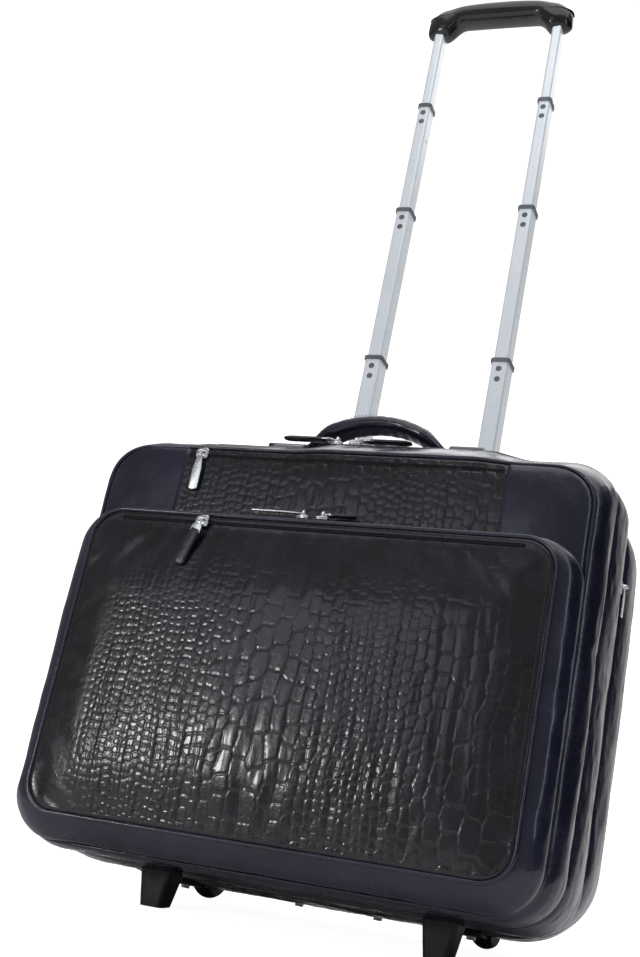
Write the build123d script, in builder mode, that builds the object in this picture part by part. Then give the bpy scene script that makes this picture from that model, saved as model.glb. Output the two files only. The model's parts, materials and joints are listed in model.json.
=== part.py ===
from build123d import *
import os
from math import cos, radians, sin, tan

# A rolling laptop case, in millimetres. It is drawn upright: X across the case, Y from the front
# pocket's face (y = 0) to the back, Z up from the soles of the front feet. The finished case stands
# leaning back on its feet and wheels, so `stance`, at the end, turns every piece before it is written.

# ---------------------------------------------------------------- driving dimensions
lean = 10.0  # the standing case leans back by this many degrees
wall = 2.5  # fabric-covered side wall
panel = 3.0  # stiffened flat panel
gap = 0.2  # between neighbouring pieces

case_bottom = 30.0
case_top = 397.0
case_corner = 36.0
rear_corner = 55.0
seam_half = 213.0  # half width at the zips
bulge_half = 220.0  # half width where a side wall bulges most
bulge_up = 3.0  # how far the top bulges
bulge_down = 2.0  # how far the bottom bulges
front_half = 211.0
front_top = 374.0
back_half = 206.0

pocket_half = 197.0
pocket_bottom = 48.0
pocket_top = 301.0
pocket_corner = 26.0
pocket_back = 30.0
pocket_bulge_half = 213.0

# depths from front to back; each band of side wall bulges most at its peak
pocket_peak_y = 14.0
front_face = pocket_back + gap
front_seam_y = front_face + panel + gap
front_peak_y = 50.0
main_zip_y = 72.0
middle_peak_y = 113.0
rear_zip_y = 146.0
rear_peak_y = 200.0
back_face = 236.0
back_panel_depth = 4.0
zip_width = 8.0
zip_depth = 3.0

tube_x = 64.3
tube_y = 216.0
tube_wall = 0.8
top_size = (10.0, 16.0)
tube_step = 2.1  # each tube is this much wider and deeper than the one inside it
tube_corner = 2.5
collar_height = 4.0
collar_rim = 1.4
running = 0.15  # between a sliding tube and the collar around it

bezel_top = 410.0
tube_spans = {  # lowest and highest end of each pair of tubes, at full height
    "top": (790.0, 955.0),
    "upper": (658.0, 845.0),
    "middle": (486.0, 716.0),
    "lower": (300.0, 546.0),
    "outer": (44.0, 404.0),
}
tube_order = list(tube_spans)
boss_radius = 2.9
boss_drops = (7.0, 18.0)  # snap bosses below the end of a tube

pin_radius = 2.2
pin_hole = 2.28
pin_block = (3.0, 10.0, 12.0)
lock_heights = {"top": 807.0, "upper": 676.0, "middle": 506.0, "lower": 308.0}

grip_half = 81.0
grip_depth = 28.0
grip_low = 937.5  # the ends reach down over the tubes
grip_under = 953.0
grip_shoulder = 966.0
grip_crown = 978.0
grip_split = 960.0
grip_edge = 7.0
button_size = (34.0, 10.0)
button_travel = 3.0
rod_radius = 1.8
rod_bar = (961.7, 966.5)  # bottom and top of the bar that joins the two push rods
rod_bar_width = 5.0
spring_radius = 3.4
spring_wire = 0.5
spring_turns = 4

wheel_x = 127.5
wheel_y = 224.0
wheel_radius = 28.0
hub_radius = 18.0
wheel_width = 16.0
axle_radius = 3.0
axle_running = 0.06
axle_head = (5.0, 1.6)
housing_width = 28.0
housing_cavity = 19.0
housing_front = 187.0
housing_back = back_face + 2.0
housing_top = 84.0
housing_shoulder = 70.0  # where the arched top begins
housing_screw_y = 178.0
housing_bottom = 25.0
flange_front = 168.0
hub_rim = 2.5
hub_recess = 3.0
tread_crown = 3.0

foot_x = 121.2
foot_y = 116.5
foot_top = 27.6
foot_top_size = (30.0, 26.0)
foot_sole_size = (20.0, 18.0)

screw_radius = 2.0
screw_hole = 2.1
screw_head = (3.8, 2.8)
screw_shank = 19.0
grip_screw_radius = 1.5
grip_screw_head = (2.7, 1.6)
grip_screw_seat = 946.0
grip_screw_length = 17.5

handle_y = 100.0
handle_half = 62.0
handle_base = 404.5
handle_rise = 23.5
handle_strap = (26.0, 13.0)
handle_pin = 3.0
handle_fold = 45.0  # the handle folds this many degrees to the front and to the back

board_height = 33.2
board_half = 156.0
board_corner = 12.0
far = 60.0  # longer than any wall or recess that a cut has to pass right through

floor_rise = tan(radians(lean))
wheel_z = wheel_radius / cos(radians(lean)) + (wheel_y - foot_y) * floor_rise
floor = Plane(
    origin=(0, foot_y, 0),
    x_dir=(1, 0, 0),
    z_dir=(0, -sin(radians(lean)), cos(radians(lean))),
)
sides = {"left": -1, "right": 1}


# ---------------------------------------------------------------- shared shapes
def outline(y, half, top, bottom, corner, inset=0.0):
    """The case's rounded outline at depth y, drawn inset from its outer surface."""
    with BuildSketch(Plane.XZ.offset(-y)) as profile:
        with Locations((0, (top + bottom) / 2)):
            RectangleRounded(2 * (half - inset), top - bottom - 2 * inset, corner - inset)
    return profile.sketch


def outlines(sections, corner, inset=0.0):
    """Outlines for a band of side wall, one for each (depth, half width, top, bottom)."""
    return [outline(*section, corner, inset) for section in sections]


def tube_size(stage):
    """Outer width and depth of a stage's tubes."""
    steps = tube_order.index(stage) * tube_step
    return top_size[0] + steps, top_size[1] + steps


def screw_holes(places):
    """Clearance holes, straight up, for the screws at these places."""
    with Locations(*[(x, y, case_bottom) for x, y, _ in places]):
        Cylinder(screw_hole, 4 * screw_shank, mode=Mode.SUBTRACT)


# screws: centre and height of the underside of each head
foot_screws = [(side * foot_x, foot_y, 14.2) for side in sides.values()]
bracket_screws = [(side * 36.0, tube_y, 25.8) for side in sides.values()]
housing_screws = [(side * wheel_x, housing_screw_y, 21.7) for side in sides.values()]

# ---------------------------------------------------------------- front pocket
with BuildPart() as pocket_panel:
    extrude(outline(0, pocket_half, pocket_top, pocket_bottom, pocket_corner), amount=-panel)

pocket_sections = [
    (panel + gap, pocket_half - 0.5, pocket_top - 0.5, pocket_bottom + 0.5),
    (pocket_peak_y, pocket_bulge_half, pocket_top + 5.0, case_bottom + 3.0),
    (pocket_back, pocket_bulge_half - 5.0, pocket_top + 4.0, case_bottom + 1.0),
]
with BuildPart() as pocket_gusset:
    loft(sections=outlines(pocket_sections, pocket_corner), ruled=True)
    loft(sections=outlines(pocket_sections, pocket_corner, wall), ruled=True, mode=Mode.SUBTRACT)

chain = (6.0, 1.4)  # width and thickness of a zip chain
chain_half = 170.0
top_chain = (20.0, 306.3)  # depth and height of the chain along the pocket's top
slip_chain_z = 293.0  # height of the slip pocket's chain, across the face
with BuildPart() as pocket_zip:
    with BuildSketch(Plane.XY.offset(top_chain[1])):
        with Locations((0, top_chain[0])):
            SlotOverall(2 * chain_half, chain[0])
    extrude(amount=chain[1])
    with BuildSketch(Plane.XZ.offset(gap)):
        with Locations((0, slip_chain_z)):
            SlotOverall(2 * chain_half, chain[0])
    extrude(amount=chain[1])

# ---------------------------------------------------------------- front section
front_sections = [
    (front_seam_y, front_half, front_top, case_bottom),
    (front_peak_y, bulge_half, (front_top + case_top) / 2 + 1.0, case_bottom - bulge_down),
    (main_zip_y - gap, seam_half, case_top, case_bottom),
]
with BuildPart() as front_gusset:
    loft(sections=outlines(front_sections, case_corner), ruled=True)
    loft(sections=outlines(front_sections, case_corner, wall), ruled=True, mode=Mode.SUBTRACT)

with BuildPart() as front_panel:
    extrude(outline(front_face, front_half, front_top, case_bottom, case_corner), amount=-panel)

front_chain_z = 364.0
front_chain_half = 150.0
with BuildPart() as front_zip:
    with BuildSketch(Plane.XZ.offset(gap - front_face)):
        with Locations((0, front_chain_z)):
            SlotOverall(2 * front_chain_half, chain[0])
    extrude(amount=chain[1])

# ---------------------------------------------------------------- middle and rear sections
middle_sections = [
    (main_zip_y + zip_width + gap, seam_half, case_top, case_bottom),
    (middle_peak_y, bulge_half, case_top + bulge_up, case_bottom - bulge_down),
    (rear_zip_y - gap, seam_half, case_top, case_bottom),
]
with BuildPart() as middle_gusset:
    loft(sections=outlines(middle_sections, case_corner), ruled=True)
    loft(sections=outlines(middle_sections, case_corner, wall), ruled=True, mode=Mode.SUBTRACT)
    screw_holes(foot_screws)


def zip_ring(y):
    """A zip that runs right round the case, between two bands of side wall."""
    width, height = 2 * seam_half, case_top - case_bottom
    with BuildPart() as ring:
        with BuildSketch(Plane.XZ.offset(-y)):
            with Locations((0, (case_top + case_bottom) / 2)):
                RectangleRounded(width, height, case_corner)
                RectangleRounded(
                    width - 2 * zip_depth,
                    height - 2 * zip_depth,
                    case_corner - zip_depth,
                    mode=Mode.SUBTRACT,
                )
        extrude(amount=-zip_width)
    return ring


main_zip = zip_ring(main_zip_y)
rear_zip = zip_ring(rear_zip_y)

rear_sections = [
    (rear_zip_y + zip_width + gap, seam_half, case_top, case_bottom),
    (rear_peak_y, bulge_half - 1.0, case_top + bulge_up, case_bottom - bulge_down),
    (back_face - back_panel_depth - gap, back_half, case_top, case_bottom),
]
housing_length = housing_back + 2.0 - housing_front
outer_size = tube_size("outer")
with BuildPart() as rear_gusset:
    loft(sections=outlines(rear_sections, rear_corner), ruled=True)
    loft(sections=outlines(rear_sections, rear_corner, wall), ruled=True, mode=Mode.SUBTRACT)
    with Locations(*[(side * tube_x, tube_y, case_top) for side in sides.values()]):
        Box(outer_size[0] + 0.6, outer_size[1] + 0.6, 5 * wall, mode=Mode.SUBTRACT)
    with Locations(*[(side * wheel_x, housing_front - 1.0, 0) for side in sides.values()]):
        Box(
            housing_width + 1.0,
            housing_length + far,
            housing_top + 1.0,
            align=(Align.CENTER, Align.MIN, Align.MIN),
            mode=Mode.SUBTRACT,
        )
    screw_holes(bracket_screws + housing_screws)

with BuildPart() as back_panel:
    back_outline = outline(
        back_face - back_panel_depth, back_half - 1.0, case_top - 1.0, case_bottom + 2.0, rear_corner
    )
    extrude(back_outline, amount=-back_panel_depth)
    with Locations(*[(side * wheel_x, back_face, 0) for side in sides.values()]):
        Box(
            housing_width + 1.0,
            far,
            housing_top + 1.0,
            align=(Align.CENTER, Align.CENTER, Align.MIN),
            mode=Mode.SUBTRACT,
        )

# ---------------------------------------------------------------- inside the case
board_front = 36.0
board_back = 225.0
with BuildPart() as base_board:
    with BuildSketch(Plane.XY.offset(board_height)):
        with Locations((0, (board_front + board_back) / 2)):
            RectangleRounded(2 * board_half, board_back - board_front, board_corner)
        with Locations(*[(side * wheel_x, housing_front - 1.0) for side in sides.values()]):
            Rectangle(
                housing_width + 1.0,
                housing_length + far,
                align=(Align.CENTER, Align.MIN),
                mode=Mode.SUBTRACT,
            )
    extrude(amount=panel)
    screw_holes(foot_screws + bracket_screws + housing_screws)

sleeve_size = (360.0, 26.0, 270.0)
sleeve_front = 158.0
sleeve_floor = 50.0
sleeve_pad = 4.0
with BuildPart() as laptop_sleeve:
    with Locations((0, sleeve_front, sleeve_floor)):
        Box(*sleeve_size, align=(Align.CENTER, Align.MIN, Align.MIN))
    with Locations((0, sleeve_front + sleeve_pad, sleeve_floor + 2 * sleeve_pad)):
        Box(
            sleeve_size[0] - 2 * sleeve_pad,
            sleeve_size[1] - 2 * sleeve_pad,
            sleeve_size[2],
            align=(Align.CENTER, Align.MIN, Align.MIN),
            mode=Mode.SUBTRACT,
        )

# ---------------------------------------------------------------- telescopic handle
def tubes(stage, inner_stage):
    """A stage's two tubes, with holes for its bosses, its own lock pins and the inner tubes' pins."""
    width, depth = tube_size(stage)
    low, high = tube_spans[stage]
    with BuildPart() as pair:
        with BuildSketch(Plane.XY.offset(low)):
            with Locations(*[(side * tube_x, tube_y) for side in sides.values()]):
                RectangleRounded(width, depth, tube_corner)
                RectangleRounded(
                    width - 2 * tube_wall,
                    depth - 2 * tube_wall,
                    tube_corner - tube_wall,
                    mode=Mode.SUBTRACT,
                )
        extrude(amount=high - low)
        for side in sides.values():
            if stage in ("upper", "middle", "lower"):
                for drop in boss_drops:
                    with Locations(Location((side * tube_x, tube_y - depth / 2, high - drop), (90, 0, 0))):
                        Cylinder(boss_radius + 0.05, 4 * tube_wall, mode=Mode.SUBTRACT)
            for pins_of in (stage, inner_stage):
                if pins_of in lock_heights:
                    way = -side if pins_of == "top" else 1
                    hole_x = side * tube_x + way * width / 2
                    with Locations(Location((hole_x, tube_y, lock_heights[pins_of]), (0, 90, 0))):
                        Cylinder(pin_hole, 4 * tube_wall, mode=Mode.SUBTRACT)
    return pair


top_tubes = tubes("top", None)
upper_tubes = tubes("upper", "top")
middle_tubes = tubes("middle", "upper")
lower_tubes = tubes("lower", "middle")
outer_tubes = tubes("outer", "lower")


def collars(stage, inner_stage):
    """The plastic rims on a stage's two tubes, with the snap bosses that hold them."""
    width, depth = tube_size(stage)
    inner_width, inner_depth = tube_size(inner_stage)
    high = tube_spans[stage][1]
    with BuildPart() as rims:
        with BuildSketch(Plane.XY.offset(high + 0.02)):
            with Locations(*[(side * tube_x, tube_y) for side in sides.values()]):
                RectangleRounded(width + 2 * collar_rim, depth + 2 * collar_rim, tube_corner + collar_rim)
                RectangleRounded(
                    inner_width + 2 * running,
                    inner_depth + 2 * running,
                    tube_corner,
                    mode=Mode.SUBTRACT,
                )
        extrude(amount=collar_height)
        for drop in boss_drops:
            with BuildSketch(Plane.XZ.offset(depth / 2 - tube_wall - tube_y)):
                with Locations(*[(side * tube_x, high - drop) for side in sides.values()]):
                    Circle(boss_radius)
            extrude(amount=tube_wall)
    return rims


upper_collars = collars("upper", "top")
middle_collars = collars("middle", "upper")
lower_collars = collars("lower", "middle")


def lock_pin(stage, side, way):
    """A lock pin and its block, drawn in so that the pin's tip is flush with its own tube."""
    reach = tube_size(stage)[0] / 2
    block_x = side * tube_x - way * (reach - tube_wall - 0.7 - pin_block[0] / 2)
    with BuildPart() as pin:
        with Locations((block_x, tube_y, lock_heights[stage])):
            Box(*pin_block)
        with BuildSketch(Plane(origin=(block_x, tube_y, lock_heights[stage]), z_dir=(way, 0, 0))):
            Circle(pin_radius)
        extrude(amount=abs(side * tube_x + way * (reach - 0.1) - block_x))
    return pin


top_lock_pin_left = lock_pin("top", sides["left"], 1)
top_lock_pin_right = lock_pin("top", sides["right"], -1)


def lock_pins(stage):
    """The two lock pins of a lower stage, which both point to the right."""
    with BuildPart() as pins:
        for side in sides.values():
            add(lock_pin(stage, side, 1).part)
    return pins


upper_lock_pins = lock_pins("upper")
middle_lock_pins = lock_pins("middle")
lower_lock_pins = lock_pins("lower")

bezel_half = 86.0
bezel_front = 196.0
bezel_bottom = case_top + bulge_up + 0.3
bezel_corner = 12.0
bezel_edge = 3.0
lower_size = tube_size("lower")
with BuildPart() as trolley_bezel:
    with BuildSketch(Plane.XY.offset(bezel_bottom)):
        with Locations((0, (bezel_front + back_face) / 2)):
            RectangleRounded(2 * bezel_half, back_face - bezel_front, bezel_corner)
    extrude(amount=bezel_top - bezel_bottom)
    fillet(trolley_bezel.faces().sort_by(Axis.Z)[-1].edges(), bezel_edge)
    for side in sides.values():
        with Locations((side * tube_x, tube_y, bezel_top)):
            Box(
                lower_size[0] + 2 * running,
                lower_size[1] + 2 * running,
                4 * (bezel_top - bezel_bottom),
                mode=Mode.SUBTRACT,
            )
        with Locations((side * tube_x, tube_y, tube_spans["outer"][1] + 0.1)):
            Box(
                outer_size[0] + 2 * running,
                outer_size[1] + 2 * running,
                far,
                align=(Align.CENTER, Align.CENTER, Align.MAX),
                mode=Mode.SUBTRACT,
            )

bracket_low = board_height + panel + gap
bracket_height = 20.0
bracket_reach = 16.0  # beyond the tubes' centres
with BuildPart() as base_bracket:
    with BuildSketch(Plane.XY.offset(bracket_low)):
        with Locations((0, tube_y)):
            RectangleRounded(2 * (tube_x + bracket_reach), outer_size[1] + 4.0, 5.0)
    extrude(amount=bracket_height)
    with Locations(*[(side * tube_x, tube_y, tube_spans["outer"][0] - 0.1) for side in sides.values()]):
        Box(
            outer_size[0] + 2 * running,
            outer_size[1] + 2 * running,
            far,
            align=(Align.CENTER, Align.CENTER, Align.MIN),
            mode=Mode.SUBTRACT,
        )
    screw_holes(bracket_screws)

# ---------------------------------------------------------------- grip and release button
with BuildPart() as grip_body:
    with BuildSketch(Plane.XZ.offset(-tube_y)):
        with BuildLine():
            shoulder = grip_half - 4.0
            end_out = grip_half - 2.0
            end_in = tube_x - 12.0
            Polyline(
                (-shoulder, grip_shoulder),
                (-grip_half, grip_under),
                (-end_out, grip_low),
                (-end_in, grip_low),
                (6.0 - end_in, grip_under),
                (end_in - 6.0, grip_under),
                (end_in, grip_low),
                (end_out, grip_low),
                (grip_half, grip_under),
                (shoulder, grip_shoulder),
            )
            ThreePointArc((shoulder, grip_shoulder), (0, grip_crown), (-shoulder, grip_shoulder))
        make_face()
    extrude(amount=grip_depth / 2, both=True)
    rims = grip_body.edges().filter_by(Axis.Y, reverse=True)
    fillet(rims.filter_by(lambda rim: rim.center().Z > grip_low + 4.0), grip_edge)

cavity_half = 69.0
cavity_depth = 12.0
flange_height = 2.5
cavity_floor = 955.2
cavity_roof = rod_bar[1] + button_travel + 0.5  # over the push rods' bar
flange_roof = rod_bar[1] + gap + flange_height + button_travel + 0.5  # over the button's flange
grip_screw_places = [(side * 74.0, tube_y) for side in sides.values()]
button_top = grip_crown - gap
with BuildPart() as grip_hollow:
    add(grip_body.part)
    with Locations((0, tube_y, cavity_floor)):
        Box(
            2 * cavity_half,
            cavity_depth,
            cavity_roof - cavity_floor,
            align=(Align.CENTER, Align.CENTER, Align.MIN),
            mode=Mode.SUBTRACT,
        )
    with Locations((0, tube_y, cavity_floor)):
        Box(
            button_size[0] + 8.0,
            button_size[1] + 8.0,
            flange_roof - cavity_floor,
            align=(Align.CENTER, Align.CENTER, Align.MIN),
            mode=Mode.SUBTRACT,
        )
    with BuildSketch(Plane.XY.offset(grip_split)):
        with Locations((0, tube_y)):
            SlotOverall(button_size[0] + 2 * gap, button_size[1] + 2 * gap)
    extrude(amount=far, mode=Mode.SUBTRACT)
    with BuildSketch(Plane.XY.offset(grip_low)):
        with Locations(*[(side * tube_x, tube_y) for side in sides.values()]):
            RectangleRounded(top_size[0] + gap, top_size[1] + gap, tube_corner)
    extrude(amount=cavity_floor - grip_low + 1.0, mode=Mode.SUBTRACT)

with BuildPart() as grip_bored:
    add(grip_hollow.part)
    with BuildSketch(Plane.XY.offset(grip_screw_seat)):
        with Locations(*grip_screw_places):
            Circle(grip_screw_radius + 0.05)
    extrude(amount=grip_screw_length + 1.0, mode=Mode.SUBTRACT)
    with BuildSketch(Plane.XY.offset(grip_screw_seat)):
        with Locations(*grip_screw_places):
            Circle(grip_screw_head[0] + gap)
    extrude(amount=-far, mode=Mode.SUBTRACT)

with BuildPart() as grip_upper:
    add(grip_bored.part)
    split(bisect_by=Plane.XY.offset(grip_split + gap / 2), keep=Keep.TOP)

with BuildPart() as grip_lower:
    add(grip_bored.part)
    split(bisect_by=Plane.XY.offset(grip_split - gap / 2), keep=Keep.BOTTOM)

with BuildPart() as grip_screws:
    with BuildSketch(Plane.XY.offset(grip_screw_seat - 0.05)):
        with Locations(*grip_screw_places):
            Circle(grip_screw_head[0])
    extrude(amount=-grip_screw_head[1])
    with BuildSketch(Plane.XY.offset(grip_screw_seat - 0.05)):
        with Locations(*grip_screw_places):
            Circle(grip_screw_radius)
    extrude(amount=grip_screw_length)

with BuildPart() as release_button:
    with BuildSketch(Plane.XY.offset(rod_bar[1] + gap)):
        with Locations((0, tube_y)):
            SlotOverall(button_size[0], button_size[1])
    extrude(amount=button_top - rod_bar[1] - gap)
    with BuildSketch(Plane.XY.offset(rod_bar[1] + gap)):
        with Locations((0, tube_y)):
            RectangleRounded(button_size[0] + 6.0, button_size[1] + 4.0, 2.0)
    extrude(amount=flange_height)
    fillet(release_button.faces().sort_by(Axis.Z)[-1].edges(), 1.0)

with BuildPart() as push_rods:
    with BuildSketch(Plane.XY.offset(rod_bar[0])):
        with Locations((0, tube_y)):
            SlotOverall(2 * (tube_x + 3.0), rod_bar_width)
    extrude(amount=rod_bar[1] - rod_bar[0])
    with BuildSketch(Plane.XY.offset(lock_heights["top"] + pin_block[2])):
        with Locations(*[(side * tube_x, tube_y) for side in sides.values()]):
            Circle(rod_radius)
    extrude(amount=rod_bar[0] - lock_heights["top"] - pin_block[2] + 1.0)

spring_low = cavity_floor + spring_wire + 0.05
spring_height = rod_bar[0] - spring_low - spring_wire - 0.05
with BuildPart() as button_spring:
    with BuildLine() as coil:
        Helix(spring_height / spring_turns, spring_height, spring_radius, center=(0, tube_y, spring_low))
    with BuildSketch(Plane(origin=coil.line @ 0, z_dir=coil.line % 0)):
        Circle(spring_wire)
    sweep()

# ---------------------------------------------------------------- wheels and feet
def wheel_housing(side):
    """The moulded housing that the wheel turns in, open below and behind."""
    with BuildPart() as housing:
        with BuildSketch(Plane.YZ.offset(side * wheel_x - housing_width / 2)):
            with BuildLine():
                Polyline(
                    (housing_back, housing_shoulder),
                    (housing_back, wheel_z - 12.0),
                    (wheel_y, wheel_z - 17.0),
                    (housing_front, housing_bottom),
                    (housing_front, housing_shoulder),
                )
                ThreePointArc(
                    (housing_front, housing_shoulder),
                    ((housing_front + housing_back) / 2, housing_top),
                    (housing_back, housing_shoulder),
                )
            make_face()
        extrude(amount=housing_width)
        with BuildSketch(Plane.XY.offset(housing_bottom - 0.3)):
            with Locations((side * wheel_x, (housing_front + flange_front) / 2 + 2.0)):
                RectangleRounded(housing_width - 6.0, housing_front - flange_front + 4.0, 5.0)
        extrude(amount=panel)
        with Locations(Location((side * wheel_x, wheel_y, wheel_z), (0, 90, 0))):
            Cylinder(wheel_radius + 3.0, housing_cavity, mode=Mode.SUBTRACT)
            Cylinder(axle_radius + 0.02, 2 * housing_width, mode=Mode.SUBTRACT)
        with Locations((side * wheel_x, wheel_y, 0)):
            Box(
                housing_cavity,
                4 * wheel_radius,
                wheel_z,
                align=(Align.CENTER, Align.MIN, Align.MIN),
                mode=Mode.SUBTRACT,
            )
        with Locations((side * wheel_x, housing_screw_y, housing_bottom)):
            Cylinder(screw_hole, screw_shank, mode=Mode.SUBTRACT)
    return housing


def hub(side):
    """The wheel's hard centre, with a rib on each face and a bore that runs on the axle."""
    with BuildPart() as centre:
        with BuildSketch(Plane.YZ.offset(side * wheel_x - wheel_width / 2 + 1.0)):
            with Locations((wheel_y, wheel_z)):
                Circle(hub_radius)
        extrude(amount=wheel_width - 2.0)
        face_out = wheel_width / 2 - 1.0
        for recess_x in (-face_out, face_out - hub_recess):
            with BuildSketch(Plane.YZ.offset(side * wheel_x + recess_x)):
                with Locations((wheel_y, wheel_z)):
                    Circle(hub_radius - hub_rim)
                    Circle(2 * axle_radius, mode=Mode.SUBTRACT)
            extrude(amount=hub_recess, mode=Mode.SUBTRACT)
        with BuildSketch(Plane.YZ.offset(side * wheel_x - wheel_width / 2)):
            with Locations((wheel_y, wheel_z)):
                Circle(2 * axle_radius)
        extrude(amount=wheel_width)
        with Locations(Location((side * wheel_x, wheel_y, wheel_z), (0, 90, 0))):
            Cylinder(axle_radius + axle_running, 2 * wheel_width, mode=Mode.SUBTRACT)
    return centre


def tyre(side):
    """The soft tread, crowned across its width."""
    with BuildPart() as tread:
        with BuildSketch(Plane.XY.offset(wheel_z)):
            with BuildLine():
                low = side * wheel_x - wheel_width / 2
                high = side * wheel_x + wheel_width / 2
                edge = wheel_y + wheel_radius - tread_crown
                inner = wheel_y + hub_radius + 0.02
                Polyline((low, edge), (low, inner), (high, inner), (high, edge))
                ThreePointArc((high, edge), (side * wheel_x, wheel_y + wheel_radius), (low, edge))
            make_face()
        revolve(axis=Axis((0, wheel_y, wheel_z), (1, 0, 0)))
    return tread


def foot(side):
    """A tapered foot whose sole lies on the floor while the case leans back."""
    with BuildPart() as block:
        with BuildSketch(Plane.XY.offset(foot_top)):
            with Locations((side * foot_x, foot_y)):
                RectangleRounded(*foot_top_size, 5.0)
        with BuildSketch(Plane.XY.offset(-4.0)):
            with Locations((side * foot_x, foot_y)):
                RectangleRounded(*foot_sole_size, 5.0)
        loft(ruled=True)
        split(bisect_by=floor, keep=Keep.TOP)
        with Locations((side * foot_x, foot_y, 0)):
            Cylinder(screw_hole, 2 * far, mode=Mode.SUBTRACT)
        with Locations((side * foot_x, foot_y, foot_screws[0][2] + screw_head[1] + 0.1)):
            Cylinder(
                screw_head[0] + 0.5,
                far,
                align=(Align.CENTER, Align.CENTER, Align.MAX),
                mode=Mode.SUBTRACT,
            )
    return block


with BuildPart() as wheel_axles:
    for side in sides.values():
        start = side * wheel_x - housing_width / 2 - 1.0
        with BuildSketch(Plane.YZ.offset(start)):
            with Locations((wheel_y, wheel_z)):
                Circle(axle_radius)
        extrude(amount=housing_width + 2.0)
        for head_start in (start - axle_head[1], start + housing_width + 2.0):
            with BuildSketch(Plane.YZ.offset(head_start)):
                with Locations((wheel_y, wheel_z)):
                    Circle(axle_head[0])
            extrude(amount=axle_head[1])

with BuildPart() as base_screws:
    for x, y, z in foot_screws + bracket_screws + housing_screws:
        with BuildSketch(Plane.XY.offset(z)):
            with Locations((x, y)):
                Circle(screw_head[0])
        extrude(amount=screw_head[1])
        with BuildSketch(Plane.XY.offset(z + screw_head[1])):
            with Locations((x, y)):
                Circle(screw_radius)
        extrude(amount=screw_shank)

# ---------------------------------------------------------------- carry handle
anchor_length = 40.0
anchor_width = 24.0
anchor_plate = 2.4
anchor_wall = 2.6  # around the handle's pin
with BuildPart() as handle_anchors:
    for side in sides.values():
        centre = side * (handle_half + anchor_length / 2 + 5.0)
        with BuildSketch(Plane.XY.offset(case_top + bulge_up + gap)):
            with Locations((centre, handle_y)):
                RectangleRounded(anchor_length, anchor_width, 3.0)
        extrude(amount=anchor_plate)
        with BuildSketch(Plane.YZ.offset(centre - anchor_length / 2)):
            with Locations((handle_y, handle_base)):
                Circle(handle_pin + anchor_wall)
            with Locations((handle_y, handle_base)):
                Rectangle(2 * (handle_pin + anchor_wall), 4.0, align=(Align.CENTER, Align.MAX))
        extrude(amount=anchor_length)
    with Locations(Location((0, handle_y, handle_base), (0, 90, 0))):
        Cylinder(handle_pin + 0.08, 4 * handle_half, mode=Mode.SUBTRACT)

handle_drop = 3.0  # the ends reach this far below the pins
handle_tip = 2.2  # half width at the very end
pin_length = 22.0
taper_rise = (handle_strap[0] - handle_tip) * tan(radians(handle_fold)) - handle_drop
with BuildPart() as carry_handle:
    with BuildLine(Plane.XZ.offset(-handle_y)) as arch:
        ThreePointArc(
            (-handle_half, handle_base),
            (0, handle_base + handle_rise),
            (handle_half, handle_base),
        )
    with BuildSketch(Plane(origin=arch.line @ 0, x_dir=(0, 1, 0), z_dir=arch.line % 0)):
        RectangleRounded(*handle_strap, 5.0)
    sweep()
    with Locations((0, handle_y, handle_base - handle_drop)):
        Box(
            4 * handle_half,
            2 * handle_strap[0],
            2 * handle_strap[0],
            align=(Align.CENTER, Align.CENTER, Align.MAX),
            mode=Mode.SUBTRACT,
        )
    # the ends taper, so that their corners clear the case's top when the handle folds over
    for way in (-1, 1):
        with BuildSketch(Plane.YZ.offset(-2 * handle_half)):
            with BuildLine():
                Polyline(
                    (handle_y + way * handle_tip, handle_base - handle_drop),
                    (handle_y + way * handle_strap[0], handle_base + taper_rise),
                    (handle_y + way * handle_strap[0], handle_base - handle_drop),
                    close=True,
                )
            make_face()
        extrude(amount=4 * handle_half, mode=Mode.SUBTRACT)
    for side in sides.values():
        with BuildSketch(Plane.YZ.offset(side * (handle_half + 10.0) - pin_length / 2)):
            with Locations((handle_y, handle_base)):
                Circle(handle_pin)
        extrude(amount=pin_length)

# ---------------------------------------------------------------- zip sliders and pulls
crossbar_height = 5.2
crossbar_radius = 0.8
crossbar_half = 3.0


def zip_slider(seat):
    """A slider on its chain. seat's X is the way its pull lies, and its Z points off the chain."""
    with BuildPart() as slider:
        with BuildSketch(seat):
            RectangleRounded(10.0, 9.0, 2.0)
        extrude(amount=3.4)
        for end in (-1, 1):
            with BuildSketch(seat.offset(3.0)):
                with Locations((0, end * (crossbar_half - 0.5))):
                    Rectangle(2.4, 1.0)
            extrude(amount=crossbar_height - 3.0 + crossbar_radius)
        bar = Plane(
            origin=seat.origin + seat.z_dir * crossbar_height - seat.y_dir * crossbar_half,
            z_dir=seat.y_dir,
        )
        with BuildSketch(bar):
            Circle(crossbar_radius)
        extrude(amount=2 * crossbar_half)
    return slider


def zip_pull(seat, length, width, thickness):
    """The flat pull that swings on a slider's crossbar."""
    eye = Plane(
        origin=seat.origin + seat.z_dir * crossbar_height - seat.y_dir * 1.7,
        z_dir=seat.y_dir,
    )
    with BuildPart() as pull:
        with BuildSketch(eye):
            Circle(crossbar_radius + 0.9)
        extrude(amount=3.4)
        with BuildSketch(seat.offset(crossbar_height - thickness / 2)):
            Rectangle(8.0, 3.4, align=(Align.MIN, Align.CENTER))
            with Locations((length / 2 + 3.5, 0)):
                RectangleRounded(length - 7.0, width, min(width / 2 - 0.1, 3.0))
        extrude(amount=thickness)
        with BuildSketch(eye):
            Circle(crossbar_radius + 0.07)
        extrude(amount=3.4, mode=Mode.SUBTRACT)
    return pull


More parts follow.
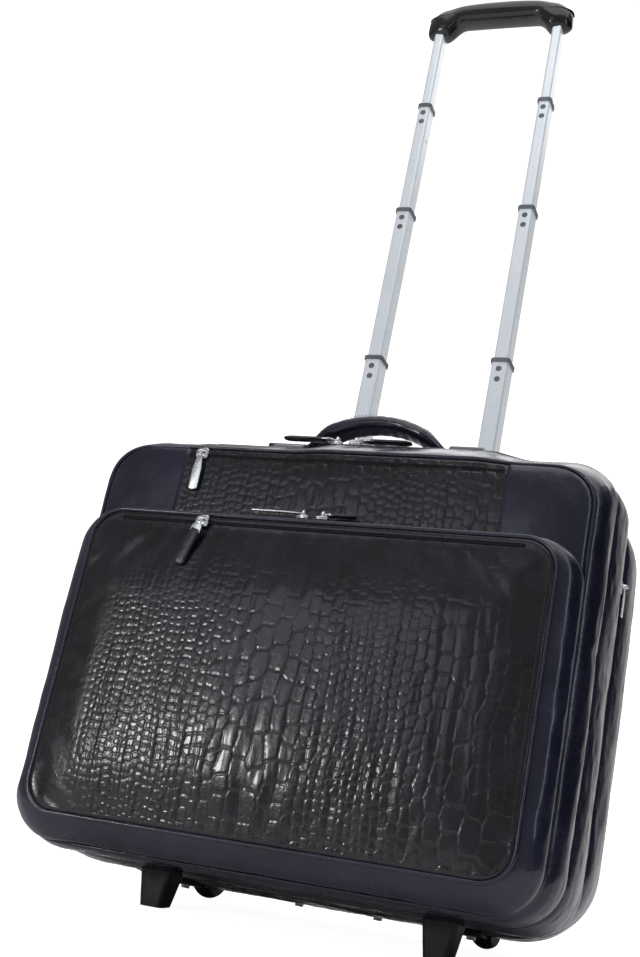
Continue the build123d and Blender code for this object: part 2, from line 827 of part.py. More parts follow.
# name: seat of the slider, then length, width and thickness of its pull
front_seat_y = front_face - gap - chain[1] - gap
pocket_seat_z = top_chain[1] + chain[1] + gap
main_seat_y = main_zip_y + zip_width / 2
side_seat_y = rear_zip_y + zip_width / 2
zip_top = case_top + gap
up = (0, 0, 1)
down = (0, 0, -1)
forward = (0, -1, 0)
zips = {
    "front": (Plane((-126.0, front_seat_y, front_chain_z), down, forward), 34.0, 8.0, 1.8),
    "slip": (Plane((-95.0, -2 * gap - chain[1], slip_chain_z), down, forward), 40.0, 9.0, 2.2),
    "pocket_left": (Plane((-19.0, top_chain[0], pocket_seat_z), (-1, 0, 0), up), 46.0, 7.0, 1.8),
    "pocket_right": (Plane((-2.0, top_chain[0], pocket_seat_z), (1, 0, 0), up), 28.0, 7.0, 1.8),
    "main_left": (Plane((-27.0, main_seat_y, zip_top), (-1, 0, 0), up), 50.0, 9.0, 3.0),
    "main_right": (Plane((-10.0, main_seat_y, zip_top), (1, 0, 0), up), 50.0, 9.0, 3.0),
    "side": (Plane((seam_half + gap, side_seat_y, 315.0), down, (1, 0, 0)), 26.0, 7.0, 1.8),
}

# ---------------------------------------------------------------- stance and export
pieces = {
    "pocket_panel": pocket_panel,
    "pocket_gusset": pocket_gusset,
    "pocket_zip": pocket_zip,
    "front_panel": front_panel,
    "front_gusset": front_gusset,
    "front_zip": front_zip,
    "main_zip": main_zip,
    "middle_gusset": middle_gusset,
    "rear_zip": rear_zip,
    "rear_gusset": rear_gusset,
    "back_panel": back_panel,
    "base_board": base_board,
    "laptop_sleeve": laptop_sleeve,
    "outer_tubes": outer_tubes,
    "lower_tubes": lower_tubes,
    "lower_collars": lower_collars,
    "lower_lock_pins": lower_lock_pins,
    "middle_tubes": middle_tubes,
    "middle_collars": middle_collars,
    "middle_lock_pins": middle_lock_pins,
    "upper_tubes": upper_tubes,
    "upper_collars": upper_collars,
    "upper_lock_pins": upper_lock_pins,
    "top_tubes": top_tubes,
    "top_lock_pin_left": top_lock_pin_left,
    "top_lock_pin_right": top_lock_pin_right,
    "trolley_bezel": trolley_bezel,
    "base_bracket": base_bracket,
    "grip_upper": grip_upper,
    "grip_lower": grip_lower,
    "grip_screws": grip_screws,
    "release_button": release_button,
    "push_rods": push_rods,
    "button_spring": button_spring,
    "wheel_axles": wheel_axles,
    "base_screws": base_screws,
    "handle_anchors": handle_anchors,
    "carry_handle": carry_handle,
}
for name, side in sides.items():
    pieces[f"wheel_housing_{name}"] = wheel_housing(side)
    pieces[f"hub_{name}"] = hub(side)
    pieces[f"tyre_{name}"] = tyre(side)
    pieces[f"foot_{name}"] = foot(side)
for name, (seat, length, width, thickness) in zips.items():
    pieces[f"{name}_slider"] = zip_slider(seat)
    pieces[f"{name}_pull"] = zip_pull(seat, length, width, thickness)

# the floor point under the middle of the whole object, then the turn that stands it on the floor
plan_front = 10.0
plan_back = (tube_y + grip_depth / 2) * cos(radians(lean)) + grip_crown * sin(radians(lean))
plan_middle = (plan_front + plan_back) / 2 - foot_y * cos(radians(lean))
middle_y = foot_y + plan_middle * cos(radians(lean))
middle_z = plan_middle * sin(radians(lean))
stance = Location((0, 0, 0), (-lean, 0, 0)) * Location((0, -middle_y, -middle_z))

os.makedirs("parts", exist_ok=True)
for name, piece in pieces.items():
    piece.part.label = name
    piece.part.move(stance)
    export_step(piece.part, f"parts/{name}.step")
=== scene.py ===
import json
import math

import bpy
import numpy as np
from mathutils import Matrix, Vector

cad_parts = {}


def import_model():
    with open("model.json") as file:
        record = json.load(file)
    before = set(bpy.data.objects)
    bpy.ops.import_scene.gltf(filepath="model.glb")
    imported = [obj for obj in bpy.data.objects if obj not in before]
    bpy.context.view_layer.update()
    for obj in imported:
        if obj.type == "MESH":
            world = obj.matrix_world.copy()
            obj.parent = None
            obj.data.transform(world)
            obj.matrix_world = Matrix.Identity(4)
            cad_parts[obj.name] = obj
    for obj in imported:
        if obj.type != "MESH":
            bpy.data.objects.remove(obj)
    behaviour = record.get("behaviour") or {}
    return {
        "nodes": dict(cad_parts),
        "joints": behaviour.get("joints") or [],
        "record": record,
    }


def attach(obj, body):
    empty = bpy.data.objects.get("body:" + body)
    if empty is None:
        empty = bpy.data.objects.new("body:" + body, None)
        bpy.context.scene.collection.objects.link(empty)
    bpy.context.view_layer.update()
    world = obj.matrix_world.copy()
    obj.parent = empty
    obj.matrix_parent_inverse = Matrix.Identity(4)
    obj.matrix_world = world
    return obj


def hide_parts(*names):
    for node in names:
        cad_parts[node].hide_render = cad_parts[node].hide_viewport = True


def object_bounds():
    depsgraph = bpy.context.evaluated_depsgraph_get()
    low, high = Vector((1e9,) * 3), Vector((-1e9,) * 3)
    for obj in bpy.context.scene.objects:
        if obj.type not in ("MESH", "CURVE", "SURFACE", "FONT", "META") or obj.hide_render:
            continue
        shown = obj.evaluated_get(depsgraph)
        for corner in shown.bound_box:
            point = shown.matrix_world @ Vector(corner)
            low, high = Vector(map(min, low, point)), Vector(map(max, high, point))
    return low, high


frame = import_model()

# The rolling laptop case's looks, in metres. Soft pieces are drawn on the upright case (X across,
# Y from front to back, Z up) and then turned into the stance in which the case leans back.

MM = 0.001
WHITE = (1, 1, 1, 1)
FRONT, BACK, UP = (0, -1, 0), (0, 1, 0), (0, 0, 1)
SIDES = (("left", -1), ("right", 1))
LEATHER = "smooth_patent"
cad_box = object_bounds()
joints = {joint["name"]: joint for joint in frame["joints"]}
trolley_axis = joints["lower_stage_slide"]["axis"]
lean = math.atan2(trolley_axis[1], trolley_axis[2])
stance = np.array(Matrix.Rotation(-lean, 3, "X"))


# ------ places taken from the frame
def standing(points):
    """Points of the upright case, turned into the leaning stance."""
    return np.asarray(points, float) @ stance.T


def upright(points):
    """Points of the leaning case, turned upright."""
    return np.asarray(points, float) @ stance


def mesh_points(mesh):
    flat = np.empty(3 * len(mesh.vertices))
    mesh.vertices.foreach_get("co", flat)
    return flat.reshape(-1, 3)


def upright_box(node):
    """Lowest and highest corner of a CAD node on the upright case."""
    points = upright(mesh_points(frame["nodes"][node].data))
    return points.min(0), points.max(0)


# ------ shapes in numbers
def smooth(low, high, value):
    """0 below low, 1 above high, and a smooth step between."""
    t = np.clip((value - low) / (high - low), 0, 1)
    return t * t * (3 - 2 * t)


def lattice_noise(points, size, seed):
    """Smooth noise between -1 and 1 that changes over about `size` metres."""
    values = np.random.default_rng(seed).uniform(-1, 1, 4096)
    scramble = (73856093, 19349663, 83492791)
    p = np.asarray(points) / size
    cell = np.floor(p).astype(int)
    f = p - cell
    f = f * f * (3 - 2 * f)
    total = 0
    for corner in np.ndindex(2, 2, 2):
        key = np.bitwise_xor.reduce((cell + corner) * scramble, axis=-1)
        weight = np.prod(np.where(np.array(corner) == 1, f, 1 - f), axis=-1)
        total = total + weight * values[key % len(values)]
    return total


def stacked(*coordinates):
    """Points from their coordinates, which are arrays or single numbers."""
    return np.stack(np.broadcast_arrays(*coordinates), -1).astype(float)


def rounded_outline(half, bottom, top, corner, across=90, up=60, arc=16):
    """A rounded rectangle in X and Z, clockwise seen from the front, with the same points for any size."""
    right, low, high = half - corner, bottom + corner, top - corner
    centres = [(right, low), (-right, low), (-right, high), (right, high)]

    def on_arc(k, degrees):
        angle = np.radians(degrees)
        x, z = centres[k]
        return stacked(x + corner * np.cos(angle), z + corner * np.sin(angle))

    points = []
    for k, count in enumerate((across, up, across, up)):
        points.extend(on_arc(k, -90.0 * k - np.arange(arc) * 90 / arc))
        after = (k + 1) % 4
        start, end = on_arc(k, -90.0 * k - 90), on_arc(after, -90.0 * after)
        points.extend(start + (end - start) * step / count for step in range(count))
    return np.array(points)


def border_distance(x, z, half, bottom, top, corner):
    """How far inside a rounded rectangle each point lies."""
    qx = np.abs(x) - (half - corner)
    qz = np.abs(z - (top + bottom) / 2) - ((top - bottom) / 2 - corner)
    outside = np.hypot(np.maximum(qx, 0), np.maximum(qz, 0))
    return corner - outside - np.minimum(np.maximum(qx, qz), 0)


def half_width(z, half, bottom, top, corner):
    """Half the width of a rounded rectangle at each height."""
    beyond = np.clip(np.abs(z - (top + bottom) / 2) - ((top - bottom) / 2 - corner), 0, corner)
    return half - corner + np.sqrt(np.maximum(corner**2 - beyond**2, 0))


def spline_weights(count, places, closed):
    """Cubic B-spline weights from `count` coarse points to places between 0 and 1 along them."""
    at = places * (count if closed else count - 1)
    base = np.floor(at).astype(int)
    f = at - base
    basis = [(1 - f) ** 3, 3 * f**3 - 6 * f**2 + 4, -3 * f**3 + 3 * f**2 + 3 * f + 1, f**3]
    weights = np.zeros((len(places), count))
    for k, share in enumerate(basis):
        index = base + k - 1
        index = index % count if closed else np.clip(index, 0, count - 1)
        np.add.at(weights, (np.arange(len(places)), index), share / 6)
    return weights


def sheet_faces(rows, columns, closed):
    index = np.arange(rows * columns).reshape(rows, columns)
    following = np.roll(index, -1, 1) if closed else index[:, 1:]
    here = index if closed else index[:, :-1]
    return np.stack([here[:-1], following[:-1], following[1:], here[1:]], -1).reshape(-1, 4)


def capped_faces(rows, around):
    """Faces of a closed sheet rolled into a tube, with its two ends."""
    faces = sheet_faces(rows, around, True).tolist()
    return faces + [list(range(around))[::-1], list(range((rows - 1) * around, rows * around))]


def tangents(path, closed):
    """Unit tangents along a path."""
    if closed:
        tangent = np.roll(path, -1, 0) - np.roll(path, 1, 0)
    else:
        tangent = np.gradient(path, axis=0)
    return tangent / np.linalg.norm(tangent, axis=1, keepdims=True)


def outward(path):
    """Normals in X and Z, pointing out of a closed outline."""
    return np.cross(tangents(path, True), BACK)


def resample(path, step, closed):
    """The same path with points about `step` apart."""
    whole = np.vstack([path, path[:1]]) if closed else path
    length = np.concatenate([[0], np.cumsum(np.linalg.norm(np.diff(whole, axis=0), axis=1))])
    count = max(int(round(length[-1] / step)), 2)
    at = np.linspace(0, length[-1], count + 1)
    if closed:
        at = at[:-1]
    return np.stack([np.interp(at, length, whole[:, k]) for k in range(3)], 1)


def local_frames(path, pitch, closed, normals):
    """Spots along a path, each with unit vectors along it, across it and out. The normals are one
    vector, or vectors spread evenly along the path, or None for those of a closed outline."""
    spots = resample(path, pitch, closed)
    tangent = tangents(spots, closed)
    if normals is None:
        out = outward(spots)
    else:
        given = np.atleast_2d(np.asarray(normals, float))
        place, known = np.linspace(0, 1, len(spots)), np.linspace(0, 1, len(given))
        out = np.stack([np.interp(place, known, given[:, k]) for k in range(3)], 1)
    return spots, tangent, np.cross(out, tangent), out


def full_turn(count):
    return np.linspace(0, 2 * np.pi, count, endpoint=False)


def squarish(angle, power_across, power_up):
    """Points across and up on a unit ring, squarer the lower the powers are."""
    c, s = np.cos(angle), np.sin(angle)
    return np.sign(c) * np.abs(c) ** power_across, np.sign(s) * np.abs(s) ** power_up


def ring_section(radius, sides=12, squeeze=1.0):
    angle = full_turn(sides)
    return stacked(radius * np.cos(angle), radius * squeeze * np.sin(angle))


def straight(low_x, high_x, y, z, count=120):
    return stacked(np.linspace(low_x, high_x, count), y, z)


def settled(points):
    """The case's soft top, which sinks a little under the handle's left end and beyond both ends."""
    points = np.array(points, float)
    x, z = points[:, 0], points[:, 2]
    beyond_ends = 8 * MM * smooth(108 * MM, 150 * MM, np.abs(x))
    left_end = 6 * MM * smooth(15 * MM, 50 * MM, -x)
    near_top = smooth(335 * MM, 392 * MM, z)
    above_top = smooth(403.5 * MM, 406 * MM, z)
    points[:, 2] = z - np.maximum(beyond_ends, left_end) * near_top * (1 - above_top)
    return points


# ------ meshes
def linked(name, data):
    """A new object in the scene."""
    made = bpy.data.objects.new(name, data)
    bpy.context.scene.collection.objects.link(made)
    return made


def add_mesh(name, points, faces, look, body="case", stands_for=None, flat=False, grooves=None, bevel=None):
    """A piece of upright points, turned into the stance, that rides on a body. Its bevel is a width, a
    number of segments, and the angle in degrees from which an edge is sharp enough to be rounded."""
    if body == "case":
        points = settled(points)
    mesh = bpy.data.meshes.new(name)
    mesh.from_pydata(standing(points).tolist(), [], [tuple(map(int, face)) for face in faces])
    mesh.update()
    if not flat:
        mesh.shade_smooth()
    if grooves is not None:
        layer = mesh.attributes.new("groove", "FLOAT", "POINT")
        layer.data.foreach_set("value", np.asarray(grooves, np.float32).ravel())
    mesh.materials.append(looks[look])
    piece = linked(name, mesh)
    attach(piece, body)
    "zip_tape" if look in ("thread", "zip_teeth") else look
    if stands_for:
        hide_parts(stands_for)
    if bevel:
        edges = piece.modifiers.new("edges", "BEVEL")
        edges.width, edges.segments, sharp_from = bevel
        edges.limit_method = "ANGLE"
        edges.angle_limit = math.radians(sharp_from)


def add_sheet(name, sheet, closed, *options, hole=None, **more):
    """A piece from a grid of points, without the faces whose middle lies in a hole."""
    points = sheet.reshape(-1, 3)
    faces = sheet_faces(*sheet.shape[:2], closed)
    if hole is not None:
        faces = faces[~hole(points[faces].mean(1))]
    add_mesh(name, points, faces, *options, **more)


def many(shape, origins, xs, ys, zs):
    """Copies of a small shape whose points form two rings, one copy in each local frame, as one mesh."""
    copies = origins[:, None, :] + shape @ np.stack([xs, ys, zs], 1)
    count = len(shape)
    ring_faces = capped_faces(2, count // 2)
    faces = [[index + k * count for index in face] for k in range(len(origins)) for face in ring_faces]
    return copies.reshape(-1, 3), faces


def tube(path, normals, closed, section):
    """Points and faces of a tube whose section (across, out) may change along the path."""
    tangent = tangents(path, closed)
    side = np.cross(tangent, normals)
    side /= np.linalg.norm(side, axis=1, keepdims=True)
    out = np.cross(side, tangent)
    if section.ndim == 2:
        section = np.repeat(section[None], len(path), 0)
    points = path[:, None] + section[..., :1] * side[:, None] + section[..., 1:] * out[:, None]
    rows, around = points.shape[:2]
    if closed:
        faces = sheet_faces(rows + 1, around, True) % (rows * around)
    else:
        faces = capped_faces(rows, around)
    return points.reshape(-1, 3), faces


# ------ materials
class Look:
    """A node material under construction: each call adds nodes and returns the socket it ends in."""

    def __init__(self, name, **values):
        self.material = bpy.data.materials.new(name)
        self.material.use_nodes = True
        self.nodes = self.material.node_tree.nodes
        self.links = self.material.node_tree.links
        self.shader = self.nodes["Principled BSDF"]
        self.coordinates = self.nodes.new("ShaderNodeTexCoord").outputs["Object"]
        for key, value in values.items():
            self.shader.inputs[key.replace("_", " ")].default_value = value

    def add(self, kind, inputs, **settings):
        node = self.nodes.new("ShaderNode" + kind)
        for key, value in settings.items():
            setattr(node, key, value)
        for key, value in inputs.items():
            if hasattr(value, "is_linked"):
                self.links.new(value, node.inputs[key])
            else:
                node.inputs[key].default_value = value
        return node.outputs

    def noise(self, scale, detail=3.0, roughness=0.55, vector=None):
        source = vector or self.coordinates
        inputs = {"Vector": source, "Scale": scale, "Detail": detail, "Roughness": roughness}
        return self.add("TexNoise", inputs)[0]

    def ramp(self, value, low, high, first, last):
        """value, carried from the range low..high to first..last."""
        inputs = {"Value": value, "From Min": low, "From Max": high, "To Min": first, "To Max": last}
        return self.add("MapRange", inputs)[0]

    def mix(self, factor, first, last):
        """Between two colours, which are (red, green, blue) or sockets."""
        first, last = (value if hasattr(value, "is_linked") else (*value, 1.0) for value in (first, last))
        return self.add("Mix", {0: factor, 6: first, 7: last}, data_type="RGBA")[2]

    def math(self, operation, first, second):
        return self.add("Math", {0: first, 1: second}, operation=operation)[0]

    def bump(self, height, distance, strength, below=None):
        inputs = {"Height": height, "Distance": distance, "Strength": strength}
        if below is not None:
            inputs["Normal"] = below
        return self.add("Bump", inputs)[0]

    def softened(self, radius):
        return self.add("Bevel", {"Radius": radius}, samples=4)[0]

    def set(self, **sockets):
        for key, socket in sockets.items():
            self.links.new(socket, self.shader.inputs[key.replace("_", " ")])
        return self.material


def patent_leather(name, dark, light, grooved=False):
    """Glossy black leather with fine pores. Grooves, where it has them, are duller, and painted shade darkens
    their colour.
    """
    look = Look(name, Coat_Weight=0.45, Coat_Roughness=0.10, IOR=1.5)
    broad = look.ramp(look.noise(22.0, 3.0), 0.35, 0.65, 0.0, 1.0)
    base = look.mix(broad, dark, light)
    pores = look.noise(1500.0, 2.0, 0.6)
    creases = look.noise(210.0, 3.0, 0.6)
    roughness = look.ramp(look.noise(70.0, 4.0), 0.3, 0.7, 0.18, 0.32)
    normal = look.bump(creases, 0.0005, 0.55)
    normal = look.bump(pores, 0.00012, 0.5, normal)
    if grooved:
        groove = look.add("Attribute", {}, attribute_name="groove")["Fac"]
        # painted shade: the grooves' base colour is darkened to a quarter of the dark tone; the added
        # roughness below is the leather's own dullness
        base = look.mix(groove, base, [0.25 * value for value in dark])
        roughness = look.math("ADD", roughness, look.math("MULTIPLY", groove, 0.30))
    return look.set(Base_Color=base, Roughness=roughness, Normal=normal)


def woven(name, dark, light, pitch, roughness=0.75):
    """Plain weave: two sets of ridges that cross."""
    look = Look(name, Sheen_Weight=0.25, Sheen_Roughness=0.5)
    ridge = {"Vector": look.coordinates, "Scale": 1.0 / pitch / 2, "Distortion": 0.4, "Detail": 1.0}
    ridges = [look.add("TexWave", ridge, bands_direction=axis)["Fac"] for axis in "XZ"]
    weave = look.math("MULTIPLY", *ridges)
    shade = look.math("MULTIPLY", weave, look.ramp(look.noise(60.0), 0.3, 0.7, 0.6, 1.0))
    return look.set(
        Base_Color=look.mix(shade, dark, light),
        Roughness=look.ramp(weave, 0.0, 1.0, roughness + 0.1, roughness - 0.1),
        Normal=look.bump(weave, 0.0003, 0.7),
    )


def moulded(name, dark, light, roughness, grain, depth, edge=0.0006, coat=0.0):
    """Moulded plastic or rubber with a fine grain, softened edges and slight wear."""
    look = Look(name, Coat_Weight=coat, Coat_Roughness=0.08)
    patches = look.ramp(look.noise(35.0, 4.0), 0.35, 0.7, 0.0, 1.0)
    return look.set(
        Base_Color=look.mix(patches, dark, light),
        Roughness=look.ramp(look.noise(90.0, 4.0), 0.3, 0.7, roughness - 0.06, roughness + 0.08),
        Normal=look.bump(look.noise(grain, 2.0), depth, 0.6, look.softened(edge)),
    )


def metal(name, dark, light, roughness, stretch=(1.0, 1.0, 1.0), metallic=1.0, glow=0.0):
    """Metal with fine scratches, or brushed along the short direction of `stretch`. A pale metal may
    glow a little, for the bright studio that it would reflect."""
    look = Look(name, Metallic=metallic, Emission_Strength=glow, Emission_Color=(0.88, 0.95, 1.0, 1.0))
    stretched = look.add("Mapping", {"Vector": look.coordinates, "Scale": stretch})[0]
    lines = look.noise(900.0, 3.0, 0.6, stretched)
    patches = look.ramp(look.noise(30.0, 3.0), 0.3, 0.7, 0.0, 1.0)
    return look.set(
        Base_Color=look.mix(patches, dark, light),
        Roughness=look.ramp(lines, 0.3, 0.7, max(roughness - 0.07, 0.04), roughness + 0.08),
        Normal=look.bump(lines, 0.00003, 0.5, look.softened(0.0003)),
    )


# each look's maker, its darkest and lightest colours, and the maker's other values
recipes = {
    "croc_patent": (patent_leather, (0.005, 0.005, 0.007), (0.013, 0.013, 0.019), True),
    "smooth_patent": (patent_leather, (0.011, 0.011, 0.027), (0.022, 0.021, 0.048)),
    "pull_leather": (patent_leather, (0.012, 0.012, 0.016), (0.03, 0.03, 0.036)),
    "zip_tape": (woven, (0.004, 0.004, 0.005), (0.014, 0.014, 0.018), 0.0009),
    "lining": (woven, (0.03, 0.03, 0.035), (0.07, 0.07, 0.08), 0.0012),
    "thread": (woven, (0.02, 0.02, 0.025), (0.07, 0.07, 0.08), 0.0004, 0.6),
    "zip_teeth": (moulded, (0.006, 0.006, 0.007), (0.02, 0.02, 0.022), 0.30, 900.0, 0.00005),
    "zip_metal": (metal, (0.9, 0.9, 0.91), (0.97, 0.97, 0.98), 0.26),
    "aluminium": (metal, (0.86, 0.91, 0.96), (0.95, 0.98, 1.0), 0.32, (1.0, 1.0, 0.02), 0.40, 0.16),
    "steel": (metal, (0.45, 0.45, 0.47), (0.62, 0.62, 0.64), 0.28),
    "collar_plastic": (moulded, (0.16, 0.17, 0.19), (0.24, 0.25, 0.28), 0.42, 700.0, 0.00008),
    "grip_plastic": (moulded, (0.008, 0.008, 0.009), (0.018, 0.018, 0.02), 0.22, 500.0, 4e-5, 0.0012, 0.5),
    "black_plastic": (moulded, (0.01, 0.01, 0.011), (0.028, 0.028, 0.03), 0.48, 420.0, 0.00018, 0.001),
    "tyre_rubber": (moulded, (0.008, 0.008, 0.008), (0.03, 0.029, 0.028), 0.72, 260.0, 0.00025),
    "board": (moulded, (0.03, 0.03, 0.03), (0.05, 0.05, 0.05), 0.6, 300.0, 0.0001),
}
looks = {name: make(name, *values) for name, (make, *values) in recipes.items()}
for subpart in frame["record"]["subparts"]:
    materials = frame["nodes"][subpart["node"]].data.materials
    materials.clear()
    materials.append(looks[subpart["material_slot"]])


# ------ cloth
def inflate(sheet, closed, pinned, pressure, growth, cap):
    """Lets a coarse sheet of fabric swell between its pinned points, as Blender's cloth, up to a cap."""
    mesh = bpy.data.meshes.new("cloth")
    mesh.from_pydata(sheet.reshape(-1, 3).tolist(), [], sheet_faces(*sheet.shape[:2], closed).tolist())
    fabric = linked("cloth", mesh)
    fabric.vertex_groups.new(name="pin").add(np.flatnonzero(pinned).tolist(), 1.0, "REPLACE")
    cloth = fabric.modifiers.new("cloth", "CLOTH")
    cloth.collision_settings.use_collision = False
    settings = cloth.settings
    settings.quality = 5
    settings.mass = 0.1
    settings.bending_stiffness = 0.8
    settings.vertex_group_mass = "pin"
    settings.shrink_min = -growth
    settings.use_pressure = True
    settings.uniform_pressure_force = pressure
    settings.effector_weights.gravity = 0.0
    for step in range(1, 21):
        bpy.context.scene.frame_set(step)
    result = fabric.evaluated_get(bpy.context.evaluated_depsgraph_get()).data
    moved = mesh_points(result).reshape(sheet.shape) - sheet
    bpy.context.scene.frame_set(1)
    bpy.data.objects.remove(fabric)
    bpy.data.meshes.remove(mesh)
    length = np.linalg.norm(moved, axis=-1, keepdims=True)
    return sheet + moved * np.minimum(1, cap / np.maximum(length, 1e-9))


# ------ the case's sections
pocket_low, pocket_high = upright_box("pocket_panel")
pocket_side_low, pocket_side_high = upright_box("pocket_gusset")
front_low, front_high = upright_box("front_panel")
main_zip_low, main_zip_high = upright_box("main_zip")
rear_zip_low, rear_zip_high = upright_box("rear_zip")
back_low, back_high = upright_box("back_panel")

pocket_corner = 26 * MM
case_corner = 36 * MM
rear_corner = 55 * MM


def seam(y, low, high, corner):
    """The outline where two soft pieces meet: depth, half width, bottom, top and corner radius."""
    return (y, high[0], low[2], high[2], corner)


pocket_seam = seam(pocket_high[1], pocket_low, pocket_high - (0.5 * MM, 0, 0), pocket_corner)
root_low, root_high = pocket_side_low + 2 * MM, pocket_side_high - (8 * MM, 0, 2 * MM)
pocket_root = seam(front_low[1], root_low, root_high, pocket_corner + 4 * MM)
front_seam = seam(front_high[1], front_low, front_high, case_corner)
main_front = seam(main_zip_low[1], main_zip_low, main_zip_high, case_corner)
main_back = (main_zip_high[1], *main_front[1:])
rear_front = (rear_zip_low[1], *main_front[1:])
rear_back = (rear_zip_high[1], *main_front[1:4], rear_corner)
back_seam = seam(back_low[1], back_low, back_high, rear_corner)


def band(name, stands_for, first, last, bulge, rows, seed, hole=None):
    """A puffy band of side wall between two seams. Its edges tuck into the seams. The bulge is how
    far it swells beyond them at the sides, the bottom and the top."""
    side_bulge, bottom_bulge, top_bulge = bulge
    tucked, overlap = 3.2 * MM, 0.02
    sections = []
    for u, inset in [(-overlap, tucked), *[(u, 0.0) for u in np.linspace(0, 1, rows)], (1 + overlap, tucked)]:
        share = np.clip(u, 0, 1)
        _, half, bottom, top, corner = (a + (b - a) * share for a, b in zip(first, last))
        swell = (4 * share * (1 - share)) ** 0.55
        half += side_bulge * swell - inset
        bottom += inset - bottom_bulge * swell
        top += top_bulge * swell - inset
        corner += side_bulge * swell * 0.5 - inset
        y = first[0] + (last[0] - first[0]) * np.clip(u, 0.004, 0.996)
        outline = rounded_outline(half, bottom, top, corner)
        sections.append(stacked(outline[:, 0], y, outline[:, 1]))
    coarse = np.array(sections)
    pinned = np.zeros(coarse.shape[:2], bool)
    pinned[:2] = pinned[-2:] = True
    coarse = inflate(coarse, True, pinned, 3.0, 0.001, 3.5 * MM)
    rows, columns = coarse.shape[:2]
    along_depth = spline_weights(rows, np.linspace(0, 1, 3 * rows), False)
    around = spline_weights(columns, np.linspace(0, 1, 2 * columns, endpoint=False), True)
    fine = np.einsum("ai,ijc,bj->abc", along_depth, coarse, around, optimize=True)
    depth = np.linspace(0, 1, fine.shape[0])[:, None]
    inside = np.minimum(1, 5 * np.minimum(depth, 1 - depth))
    folds = lattice_noise(fine * (1.0, 2.2, 1.0), 38 * MM, seed) * 0.7 * MM
    folds += lattice_noise(fine * (1.0, 3.0, 1.0), 14 * MM, seed + 1) * 0.35 * MM
    normals = np.cross(np.roll(fine, -1, 1) - np.roll(fine, 1, 1), np.gradient(fine, axis=0))
    normals /= np.maximum(np.linalg.norm(normals, axis=-1, keepdims=True), 1e-12)
    fine = fine + normals * (folds * inside)[..., None]
    add_sheet(name, fine, True, LEATHER, stands_for=stands_for, hole=hole)


def wheel_recess(points):
    """Where the wheel housings break through the fabric."""
    x, y, z = points.T
    found = np.zeros(len(points), bool)
    margin, covered = 5 * MM, 24 * MM
    for way, _ in SIDES:
        low, high = upright_box("wheel_housing_" + way)
        between = (x > low[0] + margin) & (x < high[0] - margin)
        found |= between & (y > low[1] + covered) & (z < high[2] - margin)
    return found


def rear_openings(points):
    """Where the wheel housings and the trolley's outer tubes pass through the fabric."""
    x, y, z = points.T
    low, high = upright_box("outer_tubes")
    centre, reach = (low + high) / 2, (high - low) / 2
    margin = 2 * MM
    tube_width = reach[1] * 2 - 6 * MM
    across = (np.abs(x) < high[0] + margin) & (np.abs(x) > high[0] - tube_width - margin)
    along = np.abs(y - centre[1]) < reach[1] + margin
    return wheel_recess(points) | (across & along & (z > high[2] - 30 * MM))


pocket_bulge, front_bulge = (12 * MM, 7 * MM, 2.5 * MM), (9.5 * MM, 2.5 * MM, 2 * MM)
middle_bulge, rear_bulge = (7 * MM, 2.5 * MM, 3 * MM), (9 * MM, 3 * MM, 2.5 * MM)
band("pocket_side", "pocket_gusset", pocket_seam, pocket_root, pocket_bulge, 9, 11)
band("front_side", "front_gusset", front_seam, main_front, front_bulge, 11, 21)
band("middle_side", "middle_gusset", main_back, rear_front, middle_bulge, 15, 31)
band("rear_side", "rear_gusset", rear_back, back_seam, rear_bulge, 17, 41, rear_openings)


# ------ embossed crocodile pattern
def croc(x, z, seed):
    """Scales of uneven size. Returns how deep each point lies in a groove (0 to 1), and in its scale's
    crown."""
    draw = np.random.default_rng(seed)
    warp_x = x + 2.6 * MM * lattice_noise(stacked(x, z, 0), 42 * MM, seed)
    warp_z = z + 2.0 * MM * lattice_noise(stacked(z, x, 0), 30 * MM, seed + 1)
    across = np.linspace(-0.26, 0.26, 1041)
    # broad belly scales in two bands, small ones between them and towards the left
    middle_band = np.exp(-(((across + 0.008) / 0.038) ** 2))
    right_band = np.exp(-(((across - 0.155) / 0.045) ** 2))
    broad = np.clip(middle_band + right_band, 0, 1)
    width = (5.6 + 7.4 * broad) * MM
    cell_place = np.concatenate([[0], np.cumsum((across[1:] - across[:-1]) / width[1:])])
    u = np.interp(warp_x, across, cell_place)
    count = int(cell_place[-1]) + 3
    centre_x = np.interp(np.arange(count), cell_place, across)
    height = np.interp(centre_x, across, width) * (1.15 + 0.55 * np.interp(centre_x, across, broad))
    phase = draw.uniform(0, 1, count)
    table = (count, 256)
    shift_x = draw.uniform(-0.16, 0.16, table)
    shift_z = draw.uniform(-0.24, 0.24, table)
    stretch = draw.uniform(0.85, 1.15, table)
    nearest = np.full(x.shape, 9.0)
    second = nearest.copy()
    column = np.round(u).astype(int)
    for step_x in (-1, 0, 1):
        c = np.clip(column + step_x, 0, count - 1)
        v = warp_z / height[c] - phase[c]
        row = np.round(v).astype(int)
        for step_z in (-1, 0, 1):
            r = row + step_z
            cell = (c, r % table[1])
            du = u - c - shift_x[cell]
            dv = (v - r - shift_z[cell]) * stretch[cell]
            distance = (np.abs(du) ** 3 + np.abs(dv) ** 3) ** (1 / 3)
            second = np.where(distance < nearest, nearest, np.minimum(second, distance))
            nearest = np.minimum(nearest, distance)
    local_width = np.interp(warp_x, across, width)
    groove = 1 - smooth(0.1 * MM, 1.4 * MM, (second - nearest) * local_width)
    crown = np.clip(1 - (2 * nearest) ** 2, 0, 1) * local_width / (13 * MM)
    return groove, crown


# ------ padded panels
def panel_outline(low, high, corner, inset=1.5 * MM):
    """A panel's rounded rectangle, just inside its seam: half width, bottom, top and corner radius."""
    return (high[0] - inset, low[2] + inset, high[2] - inset, corner)


def panel_grid(outline, columns, heights):
    """X and Z of a grid that fills a rounded rectangle, with rows at these heights."""
    return np.broadcast_arrays(
        half_width(heights, *outline)[:, None] * np.linspace(-1, 1, columns), heights[:, None]
    )


